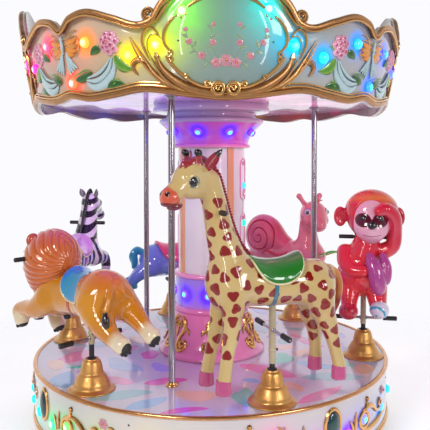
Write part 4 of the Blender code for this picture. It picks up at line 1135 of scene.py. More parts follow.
PATCH_COLOURS = {
    "pink": ((0.80, 0.24, 0.44), (0.74, 0.28, 0.52)),
    "magenta": ((0.82, 0.12, 0.46), (0.74, 0.16, 0.54)),
    "peach": ((0.76, 0.48, 0.36), (0.80, 0.54, 0.44)),
    "blue": ((0.24, 0.46, 0.76), (0.30, 0.50, 0.80)),
    "violet": ((0.36, 0.32, 0.82), (0.44, 0.38, 0.84)),
    "teal": ((0.26, 0.52, 0.56), (0.34, 0.56, 0.60)),
    "grey_blue": ((0.32, 0.46, 0.62), (0.40, 0.50, 0.66)),
    "green": ((0.14, 0.58, 0.42), (0.20, 0.62, 0.50)),
}


def patch_points(x, y, length, width, direction, draw):
    """The outline of one patch: a spindle with an uneven edge."""
    a = math.radians(direction)
    along = np.array([math.cos(a), math.sin(a)])
    aside = np.array([-math.sin(a), math.cos(a)])
    lean = draw.uniform(-0.35, 0.35)
    phase = [draw.uniform(0.0, 6.28) for _ in range(3)]
    points = []
    for t in np.linspace(0.0, 2.0 * math.pi, 40, endpoint=False):
        swell = 1.0 + 0.10 * math.sin(3 * t + phase[0]) + 0.07 * math.sin(5 * t + phase[1])
        u = 0.5 * length * math.cos(t)
        v = 0.5 * width * math.sin(t) * (abs(math.sin(t)) ** 0.35) * swell
        v += lean * width * (math.cos(t) ** 2 - 0.4) * 0.8
        points.append(np.array([x, y]) + along * u * (1.0 + 0.04 * math.sin(4 * t + phase[2])) + aside * v)
    return points


def dress_deck():
    deck_paint = gel_coat("deck_gloss_paint", (0.62, 0.57, 0.68), (0.55, 0.52, 0.64), 0.13, clouds=1.3,
                          relief=0.015)
    finish_node(deck_paint, "deck")
    draw = random.Random(4)
    patches = list(DECK_PATCHES)
    names = list(PATCH_COLOURS)
    tries = 0
    while len(patches) < 70 and tries < 4000:
        tries += 1
        radius = 0.40 + 0.62 * math.sqrt(draw.random())
        x, y, _ = at_bearing(radius, draw.uniform(60.0, 300.0))
        length = draw.uniform(0.14, 0.32)
        if all(math.hypot(x - p[0], y - p[1]) > 0.42 * (length + p[2]) for p in patches):
            patches.append((x, y, length, length * draw.uniform(0.32, 0.5), draw.uniform(0, 180),
                            draw.choice(names)))
    film = 0.0005
    sheets = {}
    for x, y, length, width, direction, colour in patches:
        outline = patch_points(x, y, length, width, direction, draw)
        reach = [math.hypot(*p) for p in outline]
        if max(reach) > DECK_RADIUS - 0.012:
            outline = [p * min(1.0, (DECK_RADIUS - 0.012) / r) for p, r in zip(outline, reach)]
        outline = [p * max(1.0, 0.350 / math.hypot(*p)) for p in outline]
        centre = sum(outline) / len(outline)
        points, faces = sheets.setdefault(colour, ([], []))
        first = len(points)
        count = len(outline)
        for height in (0.00005, film):
            points.extend((px, py, DECK + height) for px, py in outline)
        points.extend((*centre, DECK + height) for height in (0.00005, film))
        faces.extend(tuple(first + i for i in face) for face in grid_faces(2, count))
        for level, hub in ((0, 2 * count), (count, 2 * count + 1)):
            faces.extend((first + level + i, first + level + (i + 1) % count, first + hub)
                         for i in range(count))
        film += 0.000004
    for colour, (points, faces) in sheets.items():
        paint = gel_coat(f"deck_{colour}", *PATCH_COLOURS[colour], 0.13, clouds=5.0, relief=0.015)
        mesh_object(f"deck_patches_{colour}", points, faces, paint, slot="deck_gloss")
    rim = rounded([(DECK_RADIUS + 0.0003, -0.0120), (1.0945, -0.0120), (1.1005, -0.0095),
                   (1.1020, -0.0030), (1.0995, 0.0045), (1.0940, 0.0078), (1.0860, 0.0072),
                   (DECK_RADIUS + 0.0003, 0.0040)], 2)
    tone = [0.25] * len(rim)
    piece = turned("deck_gold_rim", rim, shaded_antique_gold("rim_gold", (0.74, 0.36, 0.14), (0.34, 0.14, 0.06), 0.2),
                   sides=180, loop=True, tone=tone, slot="gold_trim")
    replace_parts(piece, "deck_rim")


SKIRT_DEGREE = math.radians(1.0) * SKIRT_RADIUS


def wrap_skirt(across, up, out):
    return at_bearing(SKIRT_RADIUS + out, 33.7 + across / SKIRT_DEGREE, up)


def skirt_lamps():
    spots = ((-18.2, -0.145), (-18.2, -0.215), (-5.2, -0.196), (6.0, -0.190), (13.6, -0.162),
             (25.5, -0.168), (40.3, -0.166))
    return [ring_lamp(SKIRT_RADIUS + 0.002, 33.7 + unit * 90.0 + rel, z, 0.0255, SKIRT_HUES)
            for unit in range(UNITS) for rel, z in spots]


def draw_skirt(relief):
    """One quarter of the skirt's ornament: cabochon, rings, scrolls, spikes, flowers."""
    def at(rel, z):
        return rel * SKIRT_DEGREE, z

    def scroll(rows, samples=None):
        relief.stroke("gold", [(*at(rel, z), 1.35 * r) for rel, z, r in rows], 0.9, 0.004, samples=samples)

    relief.dome("emerald", at(0.0, -0.120), 0.045, 0.022, 0.002, stretch=1.65, sides=36)
    relief.ring("gold", at(0.0, -0.120), 0.052, 0.0095, 0.004, stretch=1.58)
    relief.ring("gold", at(13.6, -0.162), 0.044, 0.0095, 0.005)
    relief.ring("gold", at(13.6, -0.162), 0.029, 0.0045, 0.004)
    relief.dome("gold", at(15.4, -0.062), 0.013, 0.012, 0.003, sides=14)
    scroll([(15.4, -0.066, 0.005), (15.0, -0.092, 0.007), (13.9, -0.118, 0.009)])
    scroll([(13.0, -0.112, 0.006), (16.4, -0.104, 0.009), (19.0, -0.122, 0.010), (20.8, -0.150, 0.009),
            (23.2, -0.166, 0.008), (25.4, -0.148, 0.006)], 30)
    relief.volute("gold", at(24.3, -0.134), 0.024, 0.0090, -20.0, 1.2, 0.004)
    scroll([(12.8, -0.212, 0.005), (17.0, -0.226, 0.009), (22.0, -0.220, 0.009), (27.0, -0.200, 0.008),
            (30.0, -0.212, 0.004)], 26)
    relief.leaf("gold", at(9.4, -0.200), at(9.8, -0.098), 0.034, bow=0.06, lobes=2, lift=0.003)
    relief.leaf("gold", at(8.2, -0.210), at(6.6, -0.130), 0.024, bow=-0.10, lift=0.003)
    relief.leaf("gold", at(-8.6, -0.150), at(-9.6, -0.080), 0.026, bow=0.10, lobes=2, lift=0.003)
    relief.leaf("gold", at(-14.0, -0.150), at(-17.2, -0.064), 0.030, bow=-0.12, lobes=2, lift=0.003)
    relief.dome("gold", at(-24.3, -0.052), 0.012, 0.011, 0.003, sides=14)
    scroll([(-24.3, -0.056, 0.005), (-24.0, -0.080, 0.008), (-21.0, -0.098, 0.009), (-18.0, -0.124, 0.008)])
    scroll([(-32.5, -0.118, 0.004), (-29.0, -0.098, 0.009), (-25.0, -0.100, 0.011), (-21.5, -0.122, 0.010),
            (-20.5, -0.150, 0.007)], 26)
    relief.volute("gold", at(-22.6, -0.152), 0.026, 0.0095, 10.0, -1.2, 0.004)
    scroll([(-38.0, -0.180, 0.004), (-34.0, -0.168, 0.009), (-29.0, -0.180, 0.009),
            (-26.0, -0.204, 0.006)], 26)
    for rel, z, size in ((27.2, -0.084, 0.030), (-15.6, -0.092, 0.026)):
        relief.blossom("blush", "heart", at(rel, z), size, petals=6, layers=3, lift=0.003)
        relief.leaf("gold", at(rel + 1.4, z - 0.014), at(rel + 4.2, z - 0.040), 0.016, bow=0.2, lift=0.003)
    for rel in (34.9, 55.1):
        relief.dome("screw", at(rel, -0.064), 0.0055, 0.003, 0.0, sides=12)
    rels = np.arange(-45.0, 45.01, 1.5)
    for z, r in ((SKIRT_BOTTOM + 0.011, 0.0105), (SKIRT_BOTTOM + 0.034, 0.0050)):
        relief.stroke("gold", [(*at(rel, z), r) for rel in rels], 0.9, 0.002, samples=len(rels))


def dress_skirt():
    lamps = skirt_lamps()
    rows = [(SKIRT_RADIUS, z) for z in np.linspace(SKIRT_BOTTOM, -0.0125, 26)]
    shell = turned("skirt_shell", [*rows, (SKIRT_RADIUS - 0.012, -0.0125),
                                   (SKIRT_RADIUS - 0.012, SKIRT_BOTTOM)],
                   SKIRT_PAINT, sides=360, loop=True, slot="cream_gloss")
    add_spill(shell, lamps, 0.056, 0.100, 0.30)
    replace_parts(shell, "skirt_1", "skirt_2", "skirt_3", "skirt_4")
    relief = Relief()
    draw_skirt(relief)
    relief.objects("skirt", FINISHES, wrap_skirt, turns_of(UNITS))
    add_lamps("skirt_lamps", lamps, collar=False)


def dress_base():
    finish_node(BASE_PAINT, "base_frame", "base_bearing", "turntable_frame")


BELL = (
    (0.0148, 0.0004), (0.1215, 0.0004), (0.1240, 0.0040), (0.1215, 0.0085), (0.1080, 0.0125),
    (0.0960, 0.0185), (0.0925, 0.0270), (0.0915, 0.0400), (0.0820, 0.0600), (0.0700, 0.0830),
    (0.0640, 0.0880), (0.0600, 0.0930), (0.0590, 0.1040), (0.0560, 0.1200), (0.0490, 0.1480),
    (0.0440, 0.1560), (0.0380, 0.1600), (0.0360, 0.1650), (0.0148, 0.1650),
)


def dress_bells():
    """The gold boots on the deck, dented a little by use, each with its rubber bush."""
    finish = Finish("bell_gold_paint", 0.4, metallic=0.85, coat=0.25)
    mottle = finish.span(finish.noise(11.0, 5.0), 0.3, 0.7)
    finish.colour(finish.mix(mottle, (0.78, 0.42, 0.13), (0.62, 0.29, 0.08)))
    finish.rough(finish.span(finish.noise(30.0, 3.0), 0.3, 0.7, 0.32, 0.50))
    finish.bump(finish.noise(14.0, 2.0), 0.5, 0.008)
    profile = np.vstack([BELL[:1], rounded(BELL[1:-1], 2), BELL[-1:]])
    bush = rounded([(0.0147, 0.1640), (0.0250, 0.1640), (0.0250, 0.1680), (0.0200, 0.1710),
                    (0.0147, 0.1715)], 1)
    for name, bearing in PLACES.items():
        spot = at_bearing(ANIMAL_CIRCLE, bearing)[:2]
        bell = turned(f"{name}_boot", profile, finish.material, sides=64, loop=True, place=spot,
                      slot="bell_gold")
        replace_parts(bell, f"{name}_bell")
        turned(f"{name}_bush", bush, RUBBER, sides=32, loop=True, place=spot, slot="black_rubber")


class Clay:
    """Soft forms melted into one skin: distances to it on a grid, negative inside."""

    def __init__(self, low, high, cell=0.006):
        self.low = np.array(low, float)
        self.cell = cell
        counts = np.ceil((np.array(high) - self.low) / cell).astype(int) + 1
        self.field = np.full(counts, 0.2, np.float32)

    def window(self, low, high):
        """The part of the grid between two corners, and its coordinates."""
        first = np.maximum(np.floor((np.array(low) - self.low) / self.cell).astype(int), 0)
        last = np.ceil((np.array(high) - self.low) / self.cell).astype(int) + 1
        last = np.minimum(last, self.field.shape)
        part = tuple(slice(a, b) for a, b in zip(first, last))
        axes = [self.low[i] + self.cell * np.arange(first[i], last[i]) for i in range(3)]
        return part, np.meshgrid(*axes, indexing="ij", sparse=True)

    def melt_in(self, part, distance, melt):
        """Joins a form to what is there, with a fillet of about melt."""
        here = self.field[part]
        near = np.maximum(melt - np.abs(here - distance), 0.0) / melt
        self.field[part] = np.minimum(here, distance) - near * near * melt * 0.25

    def cut_out(self, part, distance, melt):
        here = self.field[part]
        near = np.maximum(melt - np.abs(here + distance), 0.0) / melt
        self.field[part] = np.maximum(here, -distance) + near * near * melt * 0.25

    def limb(self, stations, melt=0.03, cut=False):
        """A bar of changing thickness through (x, y, z, radius) stations."""
        path = smooth_path(stations, 4 * (len(stations) - 1) + 1)
        reach = path[:, 3].max() + melt + 2.0 * self.cell
        part, (x, y, z) = self.window(path[:, :3].min(0) - reach, path[:, :3].max(0) + reach)
        nearest = None
        for a, b in zip(path[:-1], path[1:]):
            span = b - a
            length = max(span[:3] @ span[:3], 1e-12)
            t = ((x - a[0]) * span[0] + (y - a[1]) * span[1] + (z - a[2]) * span[2]) / length
            t = np.clip(t, 0.0, 1.0)
            away = np.sqrt((x - a[0] - t * span[0]) ** 2 + (y - a[1] - t * span[1]) ** 2
                           + (z - a[2] - t * span[2]) ** 2) - a[3] - t * span[3]
            nearest = away if nearest is None else np.minimum(nearest, away)
        (self.cut_out if cut else self.melt_in)(part, nearest, melt)

    def egg(self, centre, radii, melt=0.03, yaw=0.0, pitch=0.0, cut=False):
        """An ellipsoid; yaw turns it about the upright, pitch lifts its front."""
        reach = max(radii) + melt + 2.0 * self.cell
        part, (x, y, z) = self.window(np.array(centre) - reach, np.array(centre) + reach)
        x, y, z = x - centre[0], y - centre[1], z - centre[2]
        c, s = math.cos(math.radians(yaw)), math.sin(math.radians(yaw))
        x, y = c * x + s * y, c * y - s * x
        c, s = math.cos(math.radians(pitch)), math.sin(math.radians(pitch))
        x, z = c * x + s * z, c * z - s * x
        near = np.sqrt((x / radii[0]) ** 2 + (y / radii[1]) ** 2 + (z / radii[2]) ** 2) + 1e-9
        slope = np.sqrt((x / radii[0] ** 2) ** 2 + (y / radii[1] ** 2) ** 2 + (z / radii[2] ** 2) ** 2)
        distance = near * (near - 1.0) / (slope + 1e-9)
        (self.cut_out if cut else self.melt_in)(part, distance, melt)

    def press(self, low, high, depth):
        """Moves the skin inwards by depth(x, y, z), or outwards where it is negative."""
        part, (x, y, z) = self.window(low, high)
        self.field[part] += depth(x, y, z)

    def at(self, points):
        """The distance at any points."""
        where = (np.asarray(points) - self.low) / self.cell
        where = np.clip(where, 0.0, np.array(self.field.shape) - 1.001)
        whole = where.astype(int)
        part = where - whole
        total = 0.0
        for corner in range(8):
            bit = np.array([corner & 1, (corner >> 1) & 1, corner >> 2])
            weight = np.prod(np.where(bit, part, 1.0 - part), axis=1)
            total = total + weight * self.field[tuple((whole + bit).T)]
        return total

    def slope(self, points):
        step = np.eye(3) * self.cell
        return np.stack([(self.at(points + s) - self.at(points - s)) / (2.0 * self.cell) for s in step], axis=1)

    def skin(self):
        """A closed mesh of quads on the surface."""
        wheres, cells = [], []
        for axis in range(3):
            for end in (0, -1):
                edge = [slice(None)] * 3
                edge[axis] = end
                self.field[tuple(edge)] = np.maximum(self.field[tuple(edge)], self.cell)
        for axis in range(3):
            near = [slice(None)] * 3
            far = [slice(None)] * 3
            near[axis] = slice(0, -1)
            far[axis] = slice(1, None)
            a, b = self.field[tuple(near)], self.field[tuple(far)]
            at = np.argwhere((a < 0.0) != (b < 0.0))
            a, b = a[tuple(at.T)], b[tuple(at.T)]
            where = at.astype(float)
            where[:, axis] += a / (a - b)
            u, v = (axis + 1) % 3, (axis + 2) % 3
            ring = np.repeat(at[:, None, :], 4, axis=1)
            ring[:, :, u] += (-1, 0, 0, -1)
            ring[:, :, v] += (-1, -1, 0, 0)
            ring[a < 0.0] = ring[a < 0.0][:, ::-1]
            wheres.append(np.repeat(where, 4, axis=0))
            cells.append(ring.reshape(-1, 3))
        cells = np.concatenate(cells)
        codes = np.ravel_multi_index(tuple(cells.T), self.field.shape)
        _, index = np.unique(codes, return_inverse=True)
        index = index.ravel()
        wheres = np.concatenate(wheres)
        share = np.bincount(index)
        points = np.stack([np.bincount(index, weights=wheres[:, i]) / share for i in range(3)], axis=1)
        points = self.low + points * self.cell
        faces = index.reshape(-1, 4)
        ends = np.concatenate([faces[:, [i, (i + 1) % 4]] for i in range(4)])
        for _ in range(2):
            points = self.relaxed(points, ends)
            for _ in range(2):
                slope = self.slope(points)
                value = self.at(points)
                step = value / np.maximum((slope ** 2).sum(1), 0.05)
                points -= np.clip(step, -self.cell, self.cell)[:, None] * slope
        return points, faces

    @staticmethod
    def relaxed(points, ends):
        count = np.maximum(np.bincount(ends[:, 0], minlength=len(points)), 1)
        moved = np.stack([np.bincount(ends[:, 0], weights=points[ends[:, 1], i], minlength=len(points))
                          for i in range(3)], axis=1) / count[:, None]
        return 0.4 * points + 0.6 * moved

    def reach(self, origin, directions, far):
        """How far out the skin is from origin in each direction, found from outside."""
        found = np.full(len(directions), 0.0)
        open_rays = np.ones(len(directions), bool)
        before = self.at(origin + directions * far)
        step = self.cell * 0.5
        for distance in np.arange(far - step, 0.0, -step):
            value = self.at(origin + directions * distance)
            hit = open_rays & (value < 0.0)
            found[hit] = distance + step * (-value[hit]) / np.maximum(before[hit] - value[hit], 1e-9)
            open_rays &= ~hit
            before = value
        return found


def tube(stations, sides=16, samples=None, flat=1.0, across=None, dome=1.0):
    """A bar along (x, y, z, radius) stations, with domed ends."""
    path = np.array(stations, float)
    if len(path) > 2 or samples:
        path = smooth_path(stations, samples or 5 * (len(stations) - 1) + 1)
    heading = np.gradient(path[:, :3], axis=0)
    heading /= np.linalg.norm(heading, axis=1)[:, None]
    rows = []
    for slant in (82.0, 60.0, 30.0):
        c, s = math.cos(math.radians(slant)), math.sin(math.radians(slant))
        r = path[0, 3]
        rows.append((path[0, :3] - heading[0] * r * s * dome, r * c, heading[0]))
    rows += [(p[:3], p[3], d) for p, d in zip(path, heading)]
    for slant in (30.0, 60.0, 82.0):
        c, s = math.cos(math.radians(slant)), math.sin(math.radians(slant))
        r = path[-1, 3]
        rows.append((path[-1, :3] + heading[-1] * r * s * dome, r * c, heading[-1]))
    if across is None:
        across = (0.0, 0.0, 1.0) if abs(heading[0, 2]) < 0.8 else (1.0, 0.0, 0.0)
    across = np.array(across, float)
    turn = 2.0 * math.pi * np.arange(sides) / sides
    points = []
    for middle, radius, ahead in rows:
        across = across - ahead * (across @ ahead)
        across /= np.linalg.norm(across)
        third = np.cross(ahead, across)
        points.append(middle + radius * (np.outer(np.cos(turn), across)
                                         + flat * np.outer(np.sin(turn), third)))
    faces = grid_faces(len(rows), sides)
    faces.append(tuple(range(sides)))
    faces.append(tuple(range((len(rows) - 1) * sides, len(rows) * sides)))
    return np.concatenate(points), faces


def ball(centre, radii, axis=(0.0, 0.0, 1.0), sides=28, rings=14, cap=180.0, bottom=None):
    """An ellipsoid, or its cap down to an angle from the pole; radii are (across, along)."""
    axis = np.array(axis, float) / np.linalg.norm(axis)
    across = np.cross(axis, (0.0, 0.0, 1.0) if abs(axis[2]) < 0.9 else (1.0, 0.0, 0.0))
    across /= np.linalg.norm(across)
    third = np.cross(axis, across)
    turn = 2.0 * math.pi * np.arange(sides) / sides
    slants = np.radians(np.linspace(3.0, min(cap, 177.0), rings))
    points = []
    for slant in slants:
        points.append(np.array(centre) + axis * radii[1] * math.cos(slant) + radii[0] * math.sin(slant)
                      * (np.outer(np.cos(turn), across) + np.outer(np.sin(turn), third)))
    faces = grid_faces(rings, sides)
    faces.append(tuple(range(sides)))
    faces.append(tuple(range((rings - 1) * sides, rings * sides)))
    return np.concatenate(points), faces


def hoop(centre, axis, radius, thick, sides=32, section=10, flat=1.0):
    """A ring of round section about an axis."""
    axis = np.array(axis, float) / np.linalg.norm(axis)
    across = np.cross(axis, (0.0, 0.0, 1.0) if abs(axis[2]) < 0.9 else (1.0, 0.0, 0.0))
    across /= np.linalg.norm(across)
    third = np.cross(axis, across)
    turn = 2.0 * math.pi * np.arange(section) / section
    points = []
    for around in 2.0 * math.pi * np.arange(sides) / sides:
        out = math.cos(around) * across + math.sin(around) * third
        points.append(np.array(centre) + out * radius + thick * (np.outer(np.cos(turn), out)
                      + flat * np.outer(np.sin(turn), axis)))
    return np.concatenate(points), grid_faces(sides, section, closed_rows=True)


def petal(base, tip, width, face, cup=0.3, thick=0.006, bend=0.0, full=0.45, samples=16):
    """A leaf or an ear: pointed, cupped towards face, widest at the share full of its length."""
    base, tip, face = np.array(base, float), np.array(tip, float), np.array(face, float)
    ahead = tip - base
    length = np.linalg.norm(ahead)
    ahead /= length
    face = face - ahead * (face @ ahead)
    face /= np.linalg.norm(face)
    side = np.cross(ahead, face)
    across = np.linspace(-1.0, 1.0, 11)
    points = []
    power = math.log(0.5) / math.log(full)
    for t in np.linspace(0.02, 0.995, samples):
        half = 0.5 * width * max(math.sin(math.pi * t ** power), 0.0) ** 0.8 + 0.0008
        skin = 0.5 * thick * min(1.0, half / (0.22 * width))
        middle = base + ahead * length * t + face * bend * math.sin(math.pi * t)
        lift = cup * half * across ** 2
        shell = skin * np.sqrt(np.maximum(1.0 - across ** 2, 0.0))
        top = middle + np.outer(across * half, side) + np.outer(lift + shell, face)
        low = middle + np.outer(across * half, side) + np.outer(lift - shell, face)
        points.append(np.vstack([top, low[-2:0:-1]]))
    count = len(points[0])
    faces = grid_faces(len(points), count)
    faces.append(tuple(range(count)))
    faces.append(tuple(range((len(points) - 1) * count, len(points) * count)))
    return np.concatenate(points), faces


def join(*parts):
    points, faces, first = [], [], 0
    for some, more in parts:
        points.append(np.asarray(some, float))
        faces.extend(tuple(first + int(i) for i in face) for face in more)
        first += len(some)
    return np.concatenate(points), faces


def head_turned(stations, pivot, yaw):
    """Stations given from a head's pivot (forward, left, height, radius), swung about it."""
    c, s = math.cos(math.radians(yaw)), math.sin(math.radians(yaw))
    return [(pivot[0] + x * c - y * s, pivot[1] + x * s + y * c, *rest) for x, y, *rest in stations]


def spots_on(points, normals, spacing, sizes, allowed, seed):
    """Rounded three-cornered spots scattered on a skin: above zero inside one."""
    draw = np.random.default_rng(seed)
    order = draw.permutation(np.nonzero(allowed)[0])
    centres = []
    for i in order:
        if all(np.sum((points[i] - points[j]) ** 2) > spacing ** 2 for j in centres):
            centres.append(i)
    mask = np.full(len(points), -0.05)
    for i in centres:
        away = points - points[i]
        near = np.nonzero((away ** 2).sum(1) < 0.06 ** 2)[0]
        away = away[near]
        up = np.cross(normals[i], (0.3, 1.0, 0.2))
        up /= np.linalg.norm(up) + 1e-9
        side = np.cross(normals[i], up)
        angle = np.arctan2(away @ side, away @ up)
        size = draw.uniform(*sizes)
        phase = draw.uniform(0.0, 6.28)
        edge = size * (1.0 + 0.16 * np.cos(3.0 * angle + phase) + 0.07 * np.cos(2.0 * angle + 2.0 * phase))
        value = edge - np.linalg.norm(away, axis=1)
        value[(normals[near] @ normals[i]) < -0.1] = -0.05
        mask[near] = np.maximum(mask[near], value)
    return mask


def paint_of(red, green, blue):
    """A paint from the three numbers of a colour chart, 0 to 255."""
    return tuple((c / 12.92) if c < 0.04045 else ((c + 0.055) / 1.055) ** 2.4
                 for c in (red / 255.0, green / 255.0, blue / 255.0))


class Figure:
    """One animal: its place on the deck, and its pieces, given ahead, outward and up."""

    def __init__(self, name):
        self.name = name
        angle = math.radians(PLACES[name])
        self.axes = np.array([(-math.cos(angle), -math.sin(angle), 0.0),
                              (math.sin(angle), -math.cos(angle), 0.0), (0.0, 0.0, 1.0)])
        self.spot = at_bearing(ANIMAL_CIRCLE, PLACES[name])

    def add(self, piece, shape, material, **options):
        points, faces = shape
        world = self.spot + np.asarray(points) @ self.axes
        return mesh_object(f"{self.name}_{piece}", world, faces, material, body=f"{self.name}_ride",
                           **options)

    def strap(self, clay, x, middle, width, material, lean=0.0, thick=0.003):
        """A band round the body."""
        turn = np.radians(np.arange(0.0, 360.0, 4.0))
        directions = np.stack([np.full(len(turn), 0.0), np.sin(turn), np.cos(turn)], axis=1)
        rows = []
        for side in (-0.5, 0.5):
            shift = x + side * width
            outs = clay.reach(np.array([shift, 0.0, middle]), directions, 0.26)
            points = np.array([shift, 0.0, middle]) + directions * outs[:, None]
            points[:, 0] += lean * (points[:, 2] - middle)
            rows.append((points, directions))
        (a, d), (b, _) = rows
        rings = [a - d * 0.002, a + d * thick, b + d * thick, b - d * 0.002]
        points = np.concatenate(rings)
        self.add("strap", (points, grid_faces(4, len(turn), closed_rows=True)), material)

    def saddle(self, middle, half_length, radius, rise, half_angle, paint, edge_paint, **options):
        """The seat: a thick shell astride the back, with piping round its edge."""
        thickness = 0.020
        rows = []
        lengths = np.sin(np.linspace(-0.5 * math.pi, 0.5 * math.pi, 33))
        lengths = np.clip(lengths, -0.995, 0.995)
        for t in lengths:
            seat = radius + rise * t * t
            spread = math.radians(half_angle) * math.sqrt(max(1.0 - 0.86 * t * t, 0.0))
            spread *= max(1.0 - abs(t) ** 12, 0.10)
            angles = np.linspace(-spread, spread, 33)
            share = np.abs(angles) / max(spread, 1e-6)
            edge = np.maximum(1.0 - share ** 8, 0.0) * max(1.0 - abs(t) ** 14, 0.0)
            outer = seat + thickness * (0.45 + 0.55 * np.sqrt(edge))
            x = middle[0] + t * half_length
            top = np.stack([np.full(33, x), outer * np.sin(angles), middle[1] + outer * np.cos(angles)], 1)
            inner = np.full(33, seat - 0.006)
            low = np.stack([np.full(33, x), inner * np.sin(angles), middle[1] + inner * np.cos(angles)], 1)
            rows.append((top, low[::-1]))
        points = np.concatenate([np.vstack(pair) for pair in rows])
        faces = grid_faces(len(rows), 66)
        faces.append(tuple(range(66)))
        faces.append(tuple(range((len(rows) - 1) * 66, len(rows) * 66)))
        self.add("seat", (points, faces), paint, **options)
        rim = [top[0] for top, _ in rows] + [p for p in rows[-1][0][1:]] + \
              [top[-1] for top, _ in rows[-2::-1]] + [p for p in rows[0][0][-2:0:-1]]
        rim = np.array(rim)
        rim = np.concatenate([rim, rim[:1]])
        steps = np.concatenate([[0.0], np.cumsum(np.linalg.norm(np.diff(rim, axis=0), axis=1))])
        even = np.linspace(0.0, steps[-1], 121)[:-1]
        line = np.stack([np.interp(even, steps, rim[:, i]) for i in range(3)], axis=1)
        for _ in range(3):
            line = 0.5 * line + 0.25 * np.roll(line, 1, 0) + 0.25 * np.roll(line, -1, 0)
        along = np.roll(line, -1, 0) - np.roll(line, 1, 0)
        along /= np.linalg.norm(along, axis=1)[:, None]
        out = line - np.array([middle[0], 0.0, middle[1]])
        out -= along * (out * along).sum(1)[:, None]
        out /= np.linalg.norm(out, axis=1)[:, None]
        side = np.cross(along, out)
        turn = 2.0 * math.pi * np.arange(10) / 10
        rings = line[:, None, :] + 0.0058 * (np.cos(turn)[None, :, None] * out[:, None, :]
                                             + np.sin(turn)[None, :, None] * side[:, None, :])
        self.add("seat_piping", (rings.reshape(-1, 3), grid_faces(120, 10, closed_rows=True)), edge_paint)

    def post(self, tube_bottom, tube_top, footrest, knob=True):
        """Rod, tube with its collar and set screw, and the footrest with its two grips."""
        rod = tube([(0, 0, -0.188, 0.0138), (0, 0, tube_bottom + 0.01, 0.0138)], 24, dome=0.05)
        sleeve = tube([(0, 0, tube_bottom - 0.002, 0.0152), (0, 0, tube_bottom + 0.020, 0.0152)], 24, dome=0.1)
        self.add("rod", join(rod, sleeve), RUBBER, slot="black_rubber")
        shell = tube([(0, 0, tube_bottom, 0.0170), (0, 0, tube_bottom + 0.004, 0.0172),
                      (0, 0, tube_top - 0.002, 0.0172)], 32, dome=0.15)
        tube_obj = self.add("tube", shell, POST_PAINT, slot="post_paint")
        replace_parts(tube_obj, f"{self.name}_post")
        bar = tube([(0, -0.195, footrest, 0.0079), (0, 0.195, footrest, 0.0079)], 20)
        hub = tube([(0, -0.021, footrest, 0.0120), (0, 0.021, footrest, 0.0120)], 20, dome=0.3)
        self.add("footrest_bar", join(bar, hub), STEEL, slot="polished_steel")
        grips = []
        for side in (-1.0, 1.0):
            stations = []
            for i in range(23):
                share = i / 22.0
                swell = 0.0132 + 0.0009 * (i % 2) + (0.0008 if i in (0, 22) else 0.0)
                stations.append((0, side * (0.1215 + 0.0755 * share), footrest, swell))
            grips.append(tube(stations, 20, samples=len(stations), dome=0.35))
        self.add("footrest_grips", join(*grips), RUBBER, slot="black_rubber")
        if knob:
            height = tube_bottom + 0.046
            screw = tube([(-0.016, 0.004, height, 0.0062), (-0.027, 0.006, height, 0.0062)], 14, dome=0.4)
            collar = hoop((0, 0, height), (0, 0, 1), 0.0172, 0.0030, 28, 8, flat=3.0)
            self.add("collar", collar, POST_PAINT, slot="post_paint")
            self.add("collar_screw", screw, RUBBER, slot="black_rubber")

    def handle(self, x, height, half, bar=RUBBER):
        """The bar that a rider holds, with ribbed grips at both ends."""
        rail = tube([(x, -half + 0.02, height, 0.0095), (x, half - 0.02, height, 0.0095)], 18)
        rail_obj = self.add("handle_bar", rail, bar, slot="polished_steel")
        grips = []
        for side in (-1.0, 1.0):
            stations = []
            for i in range(25):
                swell = 0.0122 + 0.0008 * (i % 2)
                stations.append((x, side * (half - 0.0870 + 0.0835 * i / 24.0), height, swell))
            grips.append(tube(stations, 20, samples=len(stations), dome=0.3))
        self.add("handle_grips", join(*grips), RUBBER, slot="black_rubber")
        return rail_obj


POST_PAINT = gel_coat("post_cream", paint_of(196, 182, 150), paint_of(176, 160, 128), 0.18)
PIPING = gel_coat("cream_piping", paint_of(232, 222, 178), paint_of(220, 206, 160), 0.20)
EYE_BLACK = gel_coat("eye_black", (0.010, 0.010, 0.012), (0.016, 0.014, 0.018), 0.04)
EYE_WHITE = gel_coat("eye_white", (0.86, 0.86, 0.86), (0.80, 0.80, 0.84), 0.08)


def normals_of(clay, points):
    slope = clay.slope(points)
    return slope / np.maximum(np.linalg.norm(slope, axis=1), 1e-9)[:, None]


def add_eye(figure, name, centre, outward, size, ring_paint, white=None):
    """A dark glossy eye in its ring, with a painted highlight, a small white dot where a reflection would show, on
    one side of a head.
    """
    outward = np.array(outward, float) / np.linalg.norm(outward)
    centre = np.array(centre, float)
    dark = size * 0.62 if white else size
    glint_way = outward + np.array([0.15, 0.0, 0.42])
    glint_way /= np.linalg.norm(glint_way)
    if white:
        figure.add(f"{name}_white", ball(centre, (size, size * 0.8), outward), white)
        pupil_centre = centre + outward * size * 0.42
        figure.add(f"{name}_pupil", ball(pupil_centre, (dark, size * 0.52), outward), EYE_BLACK)
        glint = pupil_centre + glint_way * dark * 0.80
    else:
        figure.add(f"{name}_ball", ball(centre, (dark, dark * 0.85), outward), EYE_BLACK)
        glint = centre + glint_way * dark * 0.88
    # Painted highlight: a white dot in place of a reflection
    figure.add(f"{name}_glint", ball(glint, (size * 0.17, size * 0.12), glint_way, 14, 8), EYE_WHITE)
    figure.add(f"{name}_ring", hoop(centre + outward * size * 0.12, outward, size * 1.02, size * 0.20,
                                    36, 10, flat=1.3), ring_paint)


